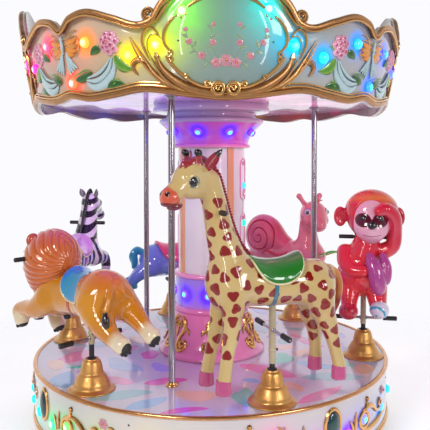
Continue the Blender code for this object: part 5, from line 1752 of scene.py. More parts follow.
def add_giraffe():
    figure = Figure("giraffe")
    clay = Clay((-0.44, -0.19, 0.09), (0.62, 0.20, 1.30), 0.0055)
    clay.limb([(0.232, 0, 0.625, 0.114), (0.13, 0, 0.610, 0.114), (0.0, 0, 0.598, 0.110),
               (-0.12, 0, 0.598, 0.113), (-0.222, 0, 0.590, 0.118)])
    clay.limb([(0.210, 0, 0.665, 0.104), (0.250, 0, 0.775, 0.082), (0.282, 0, 0.890, 0.068),
               (0.308, 0, 1.010, 0.060), (0.338, 0, 1.105, 0.062)], 0.05)
    clay.egg((0.262, 0, 0.575), (0.070, 0.085, 0.090), 0.04)
    clay.limb([(-0.320, 0, 0.655, 0.020), (-0.362, 0, 0.622, 0.019), (-0.380, 0, 0.560, 0.018),
               (-0.366, 0, 0.480, 0.018), (-0.342, 0, 0.430, 0.016)], 0.02)
    legs = (
        ([(0.215, 0.062, 0.590, 0.074), (0.238, 0.072, 0.490, 0.052), (0.243, 0.072, 0.395, 0.042),
          (0.255, 0.072, 0.320, 0.0335), (0.268, 0.072, 0.250, 0.0310), (0.280, 0.072, 0.165, 0.0330)]),
        ([(0.215, -0.062, 0.590, 0.074), (0.248, -0.072, 0.490, 0.052), (0.264, -0.072, 0.392, 0.042),
          (0.284, -0.072, 0.318, 0.0335), (0.302, -0.072, 0.250, 0.0310), (0.318, -0.072, 0.168, 0.0330)]),
        ([(-0.220, 0.058, 0.575, 0.092), (-0.243, 0.072, 0.465, 0.062), (-0.284, 0.072, 0.365, 0.044),
          (-0.304, 0.072, 0.300, 0.0350), (-0.320, 0.072, 0.240, 0.0315), (-0.341, 0.072, 0.168, 0.0330)]),
        ([(-0.220, -0.058, 0.575, 0.092), (-0.238, -0.072, 0.455, 0.062), (-0.268, -0.072, 0.350, 0.044),
          (-0.276, -0.072, 0.290, 0.0350), (-0.279, -0.072, 0.245, 0.0315), (-0.281, -0.072, 0.180, 0.0330)]),
    )
    for leg in legs:
        clay.limb(leg, 0.028)
    pivot, yaw = (0.370, 0.0), 25.0

    def turned_head(stations):
        return head_turned(stations, pivot, yaw)

    def head_egg(ahead, left, height, radii, melt=0.025, pitch=0.0, cut=False):
        clay.egg(turned_head([(ahead, left, height)])[0], radii, melt, yaw, pitch, cut)

    head_egg(0.055, 0.0, 1.130, (0.098, 0.067, 0.080), 0.035)
    clay.limb(turned_head([(0.080, 0.0, 1.122, 0.060), (0.135, 0.0, 1.085, 0.050), (0.185, 0.0, 1.052, 0.043)]))
    head_egg(0.040, 0.0, 1.078, (0.082, 0.058, 0.050), 0.03, pitch=-12.0)
    head_egg(0.192, 0.0, 1.040, (0.050, 0.050, 0.040), 0.018, pitch=-14.0)
    head_egg(0.166, 0.0, 1.000, (0.040, 0.037, 0.020), 0.008, pitch=-10.0)
    head_egg(0.214, 0.0, 1.012, (0.022, 0.036, 0.014), 0.006)
    for side in (1.0, -1.0):
        clay.limb(turned_head([(0.040, side * 0.034, 1.175, 0.017), (0.056, side * 0.043, 1.222, 0.0135)]), 0.012)
        head_egg(0.060, side * 0.045, 1.244, (0.023, 0.019, 0.017), 0.006, pitch=20.0)
        head_egg(0.108, side * 0.050, 1.140, (0.036, 0.018, 0.014), 0.014, pitch=-18.0)
        head_egg(0.214, side * 0.026, 1.056, (0.016, 0.010, 0.012), 0.010)
        head_egg(0.226, side * 0.024, 1.058, (0.010, 0.007, 0.0075), 0.004, cut=True)
        head_egg(0.098, side * 0.064, 1.111, (0.026, 0.012, 0.024), 0.008, cut=True)
    # Hair between the horns, falling over the brow
    for ahead, left, height, size in ((0.040, 0.0, 1.205, 0.030), (0.074, 0.022, 1.202, 0.024),
                                      (0.076, -0.020, 1.206, 0.024), (0.104, 0.002, 1.196, 0.022),
                                      (0.014, 0.014, 1.198, 0.028), (-0.010, 0.0, 1.180, 0.030)):
        head_egg(ahead, left, height, (size * 1.25, size * 0.9, size * 0.72), 0.006, pitch=-25.0)
    points, faces = clay.skin()
    normals = normals_of(clay, points)
    x, y, z = points.T
    c, s = math.cos(math.radians(yaw)), math.sin(math.radians(yaw))
    ahead = (x - pivot[0]) * c + y * s
    left = y * c - (x - pivot[0]) * s
    on_neck = (z > 0.72) & (z < 1.02) & (ahead < 0.02)
    on_body = (z > 0.36) & (z <= 0.72) & (x > -0.34)
    on_legs = (z > 0.285) & (z <= 0.36)
    spots = spots_on(points, normals, 0.062, (0.0225, 0.0285), on_neck | on_body | on_legs, 11)
    spots[(x < -0.345)] = -0.05
    muzzle = ahead - 0.168 - 0.60 * (z - 1.02) + 0.003 * np.sin(z * 220.0)
    muzzle[z < 0.94] = -0.1
    mouth = np.minimum(muzzle + 0.035, 1.013 - z + 0.10 * (ahead - 0.18))
    mouth[z < 0.95] = -0.1
    nostril = 0.0135 - np.sqrt((ahead - 0.226) ** 2 + (np.abs(left) - 0.024) ** 2 + (z - 1.057) ** 2)
    hair = np.minimum(z - 1.192 + 0.20 * np.abs(ahead - 0.05) + 0.006 * np.sin(left * 260.0), 0.14 - ahead)
    hair = np.minimum(hair, ahead + 0.050)
    knobs = np.minimum(z - 1.228, np.abs(left) - 0.020)
    tail = np.minimum(-0.352 - x, z - 0.35) + 0.014
    tail_end = np.minimum(tail, 0.505 - z)
    # Painted highlight band along the back of the neck beside the mane; worked out here but applied to nothing
    blush = np.minimum(0.010 - np.abs(x - 0.262 - 0.12 * (z - 0.9) + 0.036), z - 0.76)
    skin = gel_coat("giraffe_coat", paint_of(214, 186, 128), paint_of(204, 172, 112), 0.10, clouds=4.0, layers=[
        ("spots", paint_of(138, 22, 18), 0.0018), ("tail", paint_of(208, 132, 70), 0.010),
        ("tail_end", paint_of(150, 44, 40), 0.020), ("muzzle", paint_of(214, 92, 66), 0.006),
        ("mouth", paint_of(118, 18, 38), 0.003), ("nostril", paint_of(70, 12, 20), 0.002),
        ("hair", paint_of(158, 50, 62), 0.003), ("knobs", paint_of(22, 14, 16), 0.002)])
    coat = figure.add("coat", (points, faces), skin, slot="giraffe_skin", sharp=80.0, spots=spots, tail=tail,
                      tail_end=tail_end, muzzle=muzzle, mouth=mouth, nostril=nostril, hair=hair, knobs=knobs)
    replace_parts(coat, "giraffe")
    hoof_pink = gel_coat("hoof_pink", paint_of(206, 88, 142), paint_of(190, 78, 130), 0.10)
    profile = rounded([(0.0300, 0.071), (0.0365, 0.070), (0.0375, 0.055), (0.0385, 0.030), (0.0405, 0.006),
                       (0.0350, 0.000), (0.0010, 0.000)], 2)
    turn = 2.0 * math.pi * np.arange(36) / 36
    hooves = []
    for leg in legs:
        foot_x, foot_y, foot_z = leg[-1][:3]
        rings = [np.stack([foot_x + r * np.cos(turn) + 0.004, foot_y + r * 0.94 * np.sin(turn),
                           np.full(36, foot_z - 0.066 + h)], axis=1) for r, h in profile]
        shape = grid_faces(len(rings), 36)
        shape += [tuple(range(36)), tuple(range((len(rings) - 1) * 36, len(rings) * 36))]
        hooves.append((np.concatenate(rings), shape))
    figure.add("hooves", join(*hooves), hoof_pink)
    mane_line = []
    for height in np.linspace(0.735, 1.195, 9):
        start = np.array([[-1.0, 0.0, 0.0]])
        x0 = float(np.interp(height, (0.70, 0.80, 1.0, 1.1, 1.2), (0.22, 0.25, 0.305, 0.335, 0.385)))
        out = clay.reach(np.array([x0, 0.0, height]), start, 0.16)[0]
        mane_line.append((x0 - out + 0.001, 0.0, height, 0.0155))
    mane_line.append((0.372, 0.002, 1.222, 0.012))
    samples = 150
    path = smooth_path(mane_line, samples)
    path[:, 3] *= 1.0 + 0.16 * np.cos(np.arange(samples) * 2.0 * math.pi / 4.0)
    mane_paint = toned_gloss("giraffe_mane", paint_of(150, 34, 44), paint_of(196, 92, 92), 0.14)
    mane = tube([tuple(row) for row in path], 16, samples=samples, flat=0.72, across=(1, 0, 0))
    figure.add("mane", mane, mane_paint)
    ear_paint = toned_gloss("giraffe_ear", paint_of(150, 42, 58), paint_of(14, 10, 14), 0.14)
    for side in (1.0, -1.0):
        base, tip = turned_head([(0.010, side * 0.048, 1.160), (-0.030, side * 0.112, 1.262)])
        face = turned_head([(0.9, side * 0.35, 0.0)])[0] - np.array([pivot[0], pivot[1], 0.1])
        shape = petal(base, tip, 0.052, face, cup=0.55, thick=0.012, full=0.40)
        rows = len(shape[0]) // 20
        tone = np.repeat(np.clip((np.linspace(0.0, 1.0, rows) - 0.62) * 7.0, 0.0, 1.0), 20)
        figure.add("ear_left" if side > 0 else "ear_right", shape, ear_paint, tone=tone)
        eye = turned_head([(0.103, side * 0.052, 1.111)])[0]
        way = turned_head([(0.42 + pivot[0] * 0.0, side * 0.90, 0.06)])[0]
        way = np.array(way) - np.array([pivot[0], pivot[1], 0.0])
        add_eye(figure, "eye_left" if side > 0 else "eye_right", eye, way, 0.0250, GIRAFFE_LID)
    figure.saddle((0.0, 0.596), 0.145, 0.106, 0.036, 82.0, SADDLE_GREEN, PIPING, slot="green_saddle")
    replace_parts(bpy.data.objects["giraffe_seat"], "giraffe_saddle")
    figure.strap(clay, 0.024, 0.600, 0.020, gel_coat("strap_teal", paint_of(70, 130, 150), paint_of(60, 116, 140), 0.16))
    figure.post(0.218, 0.560, 0.365)
    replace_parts(figure.handle(0.292, 0.962, 0.120), "giraffe_handle")


GIRAFFE_LID = gel_coat("lid_grey_green", paint_of(128, 146, 132), paint_of(110, 130, 120), 0.12)
SADDLE_GREEN = gel_coat("saddle_green", paint_of(48, 134, 46), paint_of(36, 116, 42), 0.14)


def sides_of(stations):
    """The same stations on both sides."""
    return [[(x, side * y, z, r) for x, y, z, r in stations] for side in (1.0, -1.0)]


def add_lion():
    figure = Figure("lion")
    clay = Clay((-0.45, -0.17, 0.19), (0.62, 0.17, 0.76), 0.0055)
    clay.limb([(0.285, 0, 0.478, 0.122), (0.200, 0, 0.478, 0.108), (0.060, 0, 0.480, 0.104),
               (-0.085, 0, 0.512, 0.132)], 0.05)
    clay.egg((-0.130, 0.0, 0.505), (0.105, 0.128, 0.120), 0.05, pitch=25.0)
    legs = (
        [(0.290, 0.070, 0.440, 0.076), (0.380, 0.088, 0.388, 0.058), (0.480, 0.090, 0.372, 0.045),
         (0.535, 0.090, 0.350, 0.043), (0.518, 0.090, 0.305, 0.042)],
        [(0.290, -0.070, 0.435, 0.076), (0.375, -0.088, 0.372, 0.056), (0.455, -0.090, 0.335, 0.044),
         (0.455, -0.090, 0.290, 0.042), (0.432, -0.090, 0.260, 0.043)],
        [(-0.110, 0.062, 0.475, 0.098), (-0.195, 0.085, 0.400, 0.066), (-0.270, 0.090, 0.350, 0.046),
         (-0.325, 0.090, 0.328, 0.041), (-0.352, 0.090, 0.320, 0.044)],
        [(-0.115, -0.062, 0.495, 0.098), (-0.210, -0.085, 0.435, 0.066), (-0.290, -0.090, 0.378, 0.046),
         (-0.340, -0.090, 0.345, 0.041), (-0.364, -0.090, 0.330, 0.044)],
    )
    for leg in legs:
        clay.limb(leg, 0.030)
    # Toes: two grooves across the front of each foot
    for leg in legs:
        x0, y0, z0, r0 = leg[-1]
        ahead = np.array(leg[-1][:3]) - np.array(leg[-2][:3])
        ahead /= np.linalg.norm(ahead)
        for off in (-0.016, 0.016):
            tip = np.array([x0, y0 + off, z0]) + ahead * (r0 + 0.004)
            clay.egg(tip, (0.014, 0.0035, 0.014), 0.006, cut=True)
    clay.limb([(-0.150, 0.000, 0.606, 0.020), (-0.200, 0.030, 0.588, 0.016), (-0.240, 0.075, 0.535, 0.0135),
               (-0.248, 0.108, 0.470, 0.0125)], 0.012)
    tuft = [(-0.249, 0.110, 0.462, 0.014), (-0.258, 0.115, 0.430, 0.023), (-0.262, 0.114, 0.400, 0.018),
            (-0.262, 0.112, 0.378, 0.006)]
    points, faces = clay.skin()
    x, y, z = points.T
    paws = np.full(len(points), -0.2)
    for leg in legs:
        foot = np.array(leg[-1][:3])
        paws = np.maximum(paws, 0.066 - np.linalg.norm(points - foot, axis=1))
    shade = np.abs(y) - 0.075 + 0.3 * (0.47 - z)
    # Painted shade: the underside of the body in a darker orange
    under = 0.405 - z - 0.1 * np.abs(x)
    back = z - 0.600 - 0.10 * x
    coat_paint = gel_coat("lion_coat", paint_of(214, 142, 30), paint_of(204, 124, 26), 0.09, clouds=3.0, layers=[
        ("back_tone", paint_of(214, 112, 62), 0.045), ("under_tone", paint_of(206, 130, 44), 0.045),
        ("paw_tone", paint_of(232, 214, 180), 0.018)])
    coat = figure.add("coat", (points, faces), coat_paint, slot="lion_skin", sharp=80.0,
                      paw_tone=paws, back_tone=back, under_tone=under + 0.0 * shade)
    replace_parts(coat, "lion")
    dark = gel_coat("lion_dark", (0.016, 0.008, 0.012), (0.030, 0.012, 0.016), 0.10)
    parts = [tube(tuft, 18, flat=0.8)]
    pads = []
    for leg in legs:
        foot = np.array(leg[-1][:3])
        before = np.array(leg[-2][:3])
        ahead = (foot - before) / np.linalg.norm(foot - before)
        pads.append(ball(foot + ahead * (leg[-1][3] - 0.012), (0.030, 0.017), ahead, 28, 8, cap=100.0))
        side = np.cross(ahead, (0.0, 1.0, 0.0))
        for off in (-1.0, 0.0, 1.0):
            spot = foot + ahead * (leg[-1][3] - 0.010) + np.array([0, 1, 0]) * off * 0.021 \
                + side * (0.030 if off == 0.0 else 0.022)
            pads.append(ball(spot, (0.010, 0.012), ahead, 16, 8))
    figure.add("tail_tuft", join(*parts), dark)
    figure.add("pads", join(*pads), RUBBER, slot="black_rubber")
    add_lion_head(figure)
    figure.saddle((0.005, 0.490), 0.125, 0.106, 0.030, 96.0, SADDLE_BLUE, PIPING, slot="blue_saddle")
    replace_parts(bpy.data.objects["lion_seat"], "lion_saddle")
    figure.strap(clay, 0.062, 0.480, 0.020,
                 gel_coat("strap_red", paint_of(206, 74, 40), paint_of(190, 62, 36), 0.14), lean=-0.30)
    figure.post(0.253, 0.450, 0.272)
    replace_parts(figure.handle(0.385, 0.668, 0.215), "lion_handle")


def add_lion_head(figure):
    """The mane with its combed waves, and the face in front of it."""
    clay = Clay((0.13, -0.21, 0.36), (0.60, 0.21, 0.86), 0.005)
    clay.egg((0.345, 0.0, 0.650), (0.158, 0.158, 0.172), 0.03)
    clay.egg((0.370, 0.0, 0.555), (0.112, 0.118, 0.118), 0.05, pitch=-20.0)
    clay.limb([(0.380, 0, 0.500, 0.080), (0.400, 0, 0.452, 0.036)], 0.04)

    def combed(x, y, z):
        # Locks run from the crown down and back; each is a rounded crest between two grooves
        turn = np.arctan2(y, z - 0.640 + 0.0 * x)
        drop = np.sqrt(y ** 2 + (z - 0.66) ** 2 + 0.0 * x)
        wave = 17.0 * (np.abs(turn) * 0.62) + 30.0 * (x - 0.30) + 2.4 * np.sin(15.0 * (z - 0.05) + 6.0 * x)
        near = np.clip((0.470 - x - 0.25 * np.abs(z - 0.65)) / 0.04, 0.0, 1.0)
        return near * (0.0065 * np.abs(np.sin(wave)) - 0.0035) * np.clip(drop / 0.05, 0.25, 1.0)

    clay.press((0.13, -0.21, 0.36), (0.60, 0.21, 0.86), lambda x, y, z: 1.0 * (-combed(x, y, z)))
    points, faces = clay.skin()
    x, y, z = points.T
    crown = z - 0.770 - 0.15 * (0.345 - x)
    # Painted shade: the grooves between the locks in a darker red-brown
    hollow = combed(x, y, z)
    mane_paint = gel_coat("lion_mane", paint_of(214, 116, 54), paint_of(202, 98, 48), 0.12, clouds=5.0, layers=[
        ("crown", paint_of(218, 104, 110), 0.060), ("hollow", paint_of(178, 66, 40), 0.0022)])
    figure.add("mane", (points, faces), mane_paint, sharp=80.0, crown=crown, hollow=-hollow - 0.0024)
    face = Clay((0.36, -0.15, 0.46), (0.62, 0.14, 0.82), 0.0045)
    face.egg((0.440, 0.0, 0.645), (0.080, 0.108, 0.112), 0.02)
    face.limb([(0.480, 0, 0.632, 0.046), (0.520, 0, 0.610, 0.040)], 0.03)
    for side in (1.0, -1.0):
        face.egg((0.522, side * 0.026, 0.586), (0.032, 0.032, 0.027), 0.008)
        face.egg((0.498, side * 0.058, 0.688), (0.022, 0.030, 0.012), 0.014)
        face.egg((0.462, side * 0.074, 0.600), (0.044, 0.034, 0.038), 0.02)
    face.egg((0.505, 0.0, 0.556), (0.026, 0.026, 0.018), 0.010)
    points, faces = face.skin()
    x, y, z = points.T
    muzzle = np.minimum(0.060 - np.abs(y) * 0.9, np.minimum(0.612 - z, x - 0.485))
    face_paint = gel_coat("lion_face", paint_of(236, 172, 78), paint_of(228, 158, 66), 0.10, clouds=4.0, layers=[
        ("muzzle", paint_of(242, 222, 184), 0.006)])
    figure.add("face", (points, faces), face_paint, sharp=80.0, muzzle=muzzle)
    nose_paint = gel_coat("nose_brown", paint_of(96, 34, 34), paint_of(78, 26, 28), 0.08)
    figure.add("nose", ball((0.556, 0.0, 0.622), (0.024, 0.015), (0.9, 0.0, 0.35)), nose_paint)
    lip = tube([(0.536, -0.046, 0.574, 0.0022), (0.548, -0.024, 0.561, 0.0030), (0.552, 0.0, 0.572, 0.0026),
                (0.548, 0.024, 0.561, 0.0030), (0.536, 0.046, 0.574, 0.0022)], 8)
    figure.add("lip", lip, nose_paint)
    for side in (1.0, -1.0):
        name = "left" if side > 0 else "right"
        add_eye(figure, f"eye_{name}", (0.500, side * 0.046, 0.658), (0.86, side * 0.42, 0.05), 0.0200,
                nose_paint, EYE_WHITE)
        ear = Clay((0.34, side * 0.09 - 0.06, 0.70), (0.48, side * 0.09 + 0.06, 0.82), 0.0045)
        ear.egg((0.405, side * 0.088, 0.762), (0.022, 0.040, 0.040), 0.01)
        ear.egg((0.424, side * 0.088, 0.762), (0.017, 0.024, 0.025), 0.006, cut=True)
        figure.add(f"ear_{name}", ear.skin(), mane_paint, sharp=80.0)


def add_horse(figure, clay, limbs, melt=0.028):
    for limb in limbs:
        clay.limb(limb, melt)


def stripes_on(points, wave, share):
    """Zebra stripes: above zero on the dark ones."""
    return np.sin(wave) - share


def add_zebra():
    figure = Figure("zebra")
    clay = Clay((-0.44, -0.17, 0.17), (0.56, 0.17, 1.02), 0.0055)
    limbs = [
        [(0.205, 0, 0.560, 0.108), (0.0, 0, 0.550, 0.100), (-0.185, 0, 0.562, 0.113)],
        [(0.205, 0, 0.615, 0.092), (0.262, 0, 0.735, 0.070), (0.302, 0, 0.865, 0.056)],
        [(0.320, 0, 0.905, 0.062), (0.372, 0, 0.878, 0.055), (0.430, 0, 0.832, 0.042), (0.470, 0, 0.800, 0.039)],
        [(0.222, 0.062, 0.525, 0.064), (0.290, 0.075, 0.430, 0.044), (0.300, 0.075, 0.350, 0.033),
         (0.284, 0.075, 0.290, 0.030), (0.270, 0.075, 0.255, 0.030)],
        [(0.228, -0.062, 0.525, 0.064), (0.345, -0.086, 0.505, 0.042), (0.386, -0.090, 0.440, 0.034),
         (0.362, -0.090, 0.396, 0.030), (0.342, -0.090, 0.378, 0.030)],
        [(-0.195, 0.058, 0.535, 0.088), (-0.222, 0.075, 0.425, 0.052), (-0.285, 0.075, 0.330, 0.036),
         (-0.312, 0.075, 0.285, 0.031), (-0.328, 0.075, 0.252, 0.030)],
        [(-0.195, -0.058, 0.535, 0.088), (-0.205, -0.075, 0.415, 0.052), (-0.243, -0.075, 0.315, 0.036),
         (-0.255, -0.075, 0.275, 0.031), (-0.263, -0.075, 0.245, 0.030)],
        [(-0.285, 0, 0.620, 0.018), (-0.340, 0, 0.580, 0.016), (-0.365, 0, 0.510, 0.015)],
    ]
    add_horse(figure, clay, limbs)
    clay.egg((0.345, 0.0, 0.868), (0.062, 0.050, 0.045), 0.025, pitch=-35.0)
    clay.egg((0.478, 0.0, 0.800), (0.036, 0.040, 0.034), 0.018, pitch=-35.0)
    for side in (1.0, -1.0):
        clay.egg((0.385, side * 0.044, 0.902), (0.030, 0.016, 0.012), 0.012, pitch=-35.0)
        clay.egg((0.500, side * 0.022, 0.812), (0.008, 0.006, 0.006), 0.003, cut=True)
    points, faces = clay.skin()
    x, y, z = points.T
    body_wave = 98.0 * (x + 0.20 * (z - 0.55)) + 0.9 * np.sin(9.0 * z + 2.0) + 1.1 * np.sin(14.0 * np.abs(y) + 5 * x)
    neck_wave = 92.0 * (z - 0.55 * x) + 1.0 * np.sin(20.0 * np.abs(y))
    leg_wave = 128.0 * z + 18.0 * x
    on_neck = np.clip((z - 0.62 - 0.15 * (0.25 - x)) / 0.05, 0.0, 1.0) * (x > 0.12)
    on_leg = np.clip((0.46 - z) / 0.04, 0.0, 1.0)
    stripes = np.sin(body_wave)
    stripes = stripes * (1 - on_neck) + np.sin(neck_wave) * on_neck
    stripes = stripes * (1 - on_leg) + np.sin(leg_wave) * on_leg
    stripes = (stripes + 0.02) * 0.010
    dark = np.maximum((x - 0.470) - 0.6 * (z - 0.800), -0.05)
    dark[z < 0.70] = -0.05
    coat_paint = gel_coat("zebra_coat", paint_of(238, 222, 238), paint_of(232, 208, 232), 0.09, clouds=3.0, layers=[
        ("stripes", paint_of(26, 16, 34), 0.0016), ("dark", paint_of(34, 22, 36), 0.004)])
    coat = figure.add("coat", (points, faces), coat_paint, slot="zebra_skin", sharp=80.0,
                      stripes=stripes, dark=dark)
    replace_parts(coat, "zebra")
    black = gel_coat("zebra_black", (0.016, 0.010, 0.018), (0.026, 0.014, 0.026), 0.10)
    add_hooves(figure, [limb[-1] for limb in limbs[3:7]], black)
    mane = [(0.150, 0, 0.705, 0.014), (0.190, 0, 0.790, 0.022), (0.235, 0, 0.875, 0.024),
            (0.275, 0, 0.950, 0.024), (0.318, 0, 0.978, 0.020), (0.352, 0, 0.958, 0.012)]
    add_crest_mane(figure, mane, black, 60)
    brush = tube([(-0.366, 0, 0.512, 0.014), (-0.374, 0, 0.470, 0.024), (-0.366, 0, 0.420, 0.020),
                  (-0.352, 0, 0.385, 0.006)], 18)
    figure.add("tail_brush", brush, black)
    for side in (1.0, -1.0):
        name = "left" if side > 0 else "right"
        ear = petal((0.300, side * 0.036, 0.935), (0.285, side * 0.062, 1.000), 0.040,
                    (0.8, side * 0.5, 0.1), cup=0.5, thick=0.010)
        figure.add(f"ear_{name}", ear, coat_paint)
        add_eye(figure, f"eye_{name}", (0.386, side * 0.042, 0.884), (0.35, side * 0.92, 0.12), 0.019, black)
    figure.saddle((-0.005, 0.552), 0.130, 0.098, 0.036, 85.0, SADDLE_LILAC, PIPING, slot="pink_saddle")
    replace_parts(bpy.data.objects["zebra_seat"], "zebra_saddle")
    figure.strap(clay, 0.015, 0.552, 0.020, SADDLE_LILAC)
    figure.post(0.235, 0.520, 0.330)
    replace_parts(figure.handle(0.262, 0.760, 0.130), "zebra_handle")


def add_crest_mane(figure, stations, paint, locks):
    """An upright mane: a flat bar with an edge of rounded locks."""
    samples = locks * 4
    path = smooth_path(stations, samples)
    path[:, 3] *= 1.0 + 0.10 * np.cos(np.arange(samples) * 2.0 * math.pi / 6.0)
    shape = tube([tuple(row) for row in path], 16, samples=samples, flat=0.45, across=(-1, 0, 0.4))
    return figure.add("mane", shape, paint)


def add_hooves(figure, feet, paint, height=0.050, wide=1.15):
    """A turned hoof under each foot."""
    turn = 2.0 * math.pi * np.arange(32) / 32
    hooves = []
    for x, y, z, r in feet:
        bottom = z - r - 0.004
        profile = rounded([(r * 0.90, height), (r * 1.04, height - 0.001), (r * 1.08, height * 0.6),
                           (r * wide, 0.006), (r * 0.9, 0.0), (0.001, 0.0)], 2)
        rings = [np.stack([x + q * np.cos(turn), y + q * 0.94 * np.sin(turn),
                           np.full(32, bottom + h)], axis=1) for q, h in profile]
        shape = grid_faces(len(rings), 32)
        shape += [tuple(range(32)), tuple(range((len(rings) - 1) * 32, len(rings) * 32))]
        hooves.append((np.concatenate(rings), shape))
    figure.add("hooves", join(*hooves), paint)


def add_pony():
    figure = Figure("pony")
    clay = Clay((-0.42, -0.18, 0.12), (0.52, 0.18, 0.90), 0.0055)
    limbs = [
        [(0.172, 0, 0.430, 0.120), (0.0, 0, 0.415, 0.114), (-0.145, 0, 0.420, 0.128)],
        [(0.182, 0, 0.490, 0.100), (0.255, 0, 0.610, 0.078), (0.295, 0, 0.715, 0.072)],
        [(0.310, 0, 0.755, 0.082), (0.372, 0, 0.722, 0.062), (0.420, 0, 0.696, 0.053)],
        [(0.190, 0.068, 0.390, 0.066), (0.295, 0.080, 0.370, 0.048), (0.352, 0.080, 0.310, 0.041),
         (0.348, 0.080, 0.270, 0.038), (0.342, 0.080, 0.248, 0.038)],
        [(0.190, -0.068, 0.390, 0.066), (0.272, -0.080, 0.325, 0.048), (0.288, -0.080, 0.262, 0.041),
         (0.276, -0.080, 0.218, 0.038), (0.265, -0.080, 0.196, 0.038)],
        [(-0.160, 0.062, 0.405, 0.097), (-0.240, 0.080, 0.325, 0.060), (-0.295, 0.080, 0.270, 0.045),
         (-0.325, 0.080, 0.252, 0.040), (-0.342, 0.080, 0.246, 0.040)],
        [(-0.160, -0.062, 0.405, 0.097), (-0.245, -0.080, 0.360, 0.060), (-0.305, -0.080, 0.318, 0.046),
         (-0.332, -0.080, 0.290, 0.041), (-0.345, -0.080, 0.272, 0.040)],
    ]
    add_horse(figure, clay, limbs)
    clay.egg((0.322, 0.0, 0.742), (0.070, 0.066, 0.060), 0.03, pitch=-20.0)
    clay.egg((0.425, 0.0, 0.690), (0.044, 0.050, 0.044), 0.02, pitch=-20.0)
    for side in (1.0, -1.0):
        clay.egg((0.460, side * 0.026, 0.700), (0.008, 0.007, 0.007), 0.003, cut=True)
    points, faces = clay.skin()
    x, y, z = points.T
    belly = 0.36 - z - 0.25 * np.abs(x)
    muzzle = x - 0.405 - 0.5 * (z - 0.69)
    muzzle[z < 0.58] = -0.1
    coat_paint = gel_coat("pony_coat", paint_of(96, 146, 226), paint_of(116, 130, 222), 0.09, clouds=3.0, layers=[
        ("belly", paint_of(70, 150, 206), 0.05), ("muzzle", paint_of(176, 208, 240), 0.008)])
    coat = figure.add("coat", (points, faces), coat_paint, slot="pony_skin", sharp=80.0, belly=belly, muzzle=muzzle)
    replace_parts(coat, "pony")
    teal = toned_gloss("pony_teal", paint_of(40, 150, 184), paint_of(24, 110, 160), 0.12)
    add_hooves(figure, [limb[-1] for limb in limbs[3:7]], teal, 0.055, 1.12)
    tail = Clay((-0.42, -0.07, 0.34), (-0.19, 0.07, 0.56), 0.0045)
    tail.limb([(-0.235, 0, 0.480, 0.030), (-0.285, 0, 0.506, 0.030), (-0.318, 0, 0.470, 0.034),
               (-0.308, 0, 0.415, 0.030), (-0.318, 0, 0.378, 0.016)], 0.01)
    tail.press((-0.42, -0.07, 0.34), (-0.19, 0.07, 0.56),
               lambda a, b, c: 0.0035 * np.abs(np.sin(95.0 * b + 30.0 * (c - 0.45) + 0.0 * a)))
    figure.add("tail", tail.skin(), teal, sharp=80.0)
    mane = Clay((0.08, -0.10, 0.48), (0.42, 0.10, 0.90), 0.005)
    mane.limb([(0.352, 0, 0.812, 0.026), (0.300, 0, 0.838, 0.036), (0.240, 0, 0.790, 0.040),
               (0.205, 0, 0.700, 0.038), (0.168, 0, 0.620, 0.032), (0.140, 0, 0.570, 0.018)], 0.01)
    mane.limb([(0.345, 0.0, 0.815, 0.020), (0.368, 0.012, 0.800, 0.022), (0.388, 0.016, 0.770, 0.010)], 0.01)
    mane.press((0.08, -0.10, 0.48), (0.42, 0.10, 0.90),
               lambda a, b, c: 0.004 * np.abs(np.sin(60.0 * (a + c) + 55.0 * np.abs(b))))
    figure.add("mane", mane.skin(), teal, sharp=80.0)
    for side in (1.0, -1.0):
        name = "left" if side > 0 else "right"
        ear = petal((0.300, side * 0.046, 0.805), (0.288, side * 0.068, 0.872), 0.046,
                    (0.8, side * 0.5, 0.1), cup=0.5, thick=0.011)
        figure.add(f"ear_{name}", ear, coat_paint)
        add_eye(figure, f"eye_{name}", (0.362, side * 0.058, 0.744), (0.38, side * 0.90, 0.10), 0.021,
                PONY_LID, EYE_WHITE)
    figure.saddle((-0.010, 0.416), 0.130, 0.112, 0.032, 85.0, SADDLE_PINK, SADDLE_PINK, slot="pink_saddle")
    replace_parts(bpy.data.objects["pony_seat"], "pony_saddle")
    figure.strap(clay, 0.010, 0.416, 0.020, SADDLE_PINK)
    figure.post(0.200, 0.380, 0.232)
    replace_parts(figure.handle(0.262, 0.628, 0.130), "pony_handle")


PONY_LID = gel_coat("lid_blue", paint_of(60, 96, 190), paint_of(54, 84, 176), 0.12)
SADDLE_BLUE = gel_coat("saddle_blue", paint_of(58, 150, 190), paint_of(40, 110, 214), 0.12, clouds=7.0)
SADDLE_LILAC = gel_coat("saddle_lilac", paint_of(226, 158, 230), paint_of(214, 146, 224), 0.12)
SADDLE_PINK = gel_coat("saddle_pink", paint_of(232, 70, 128), paint_of(222, 60, 110), 0.12)


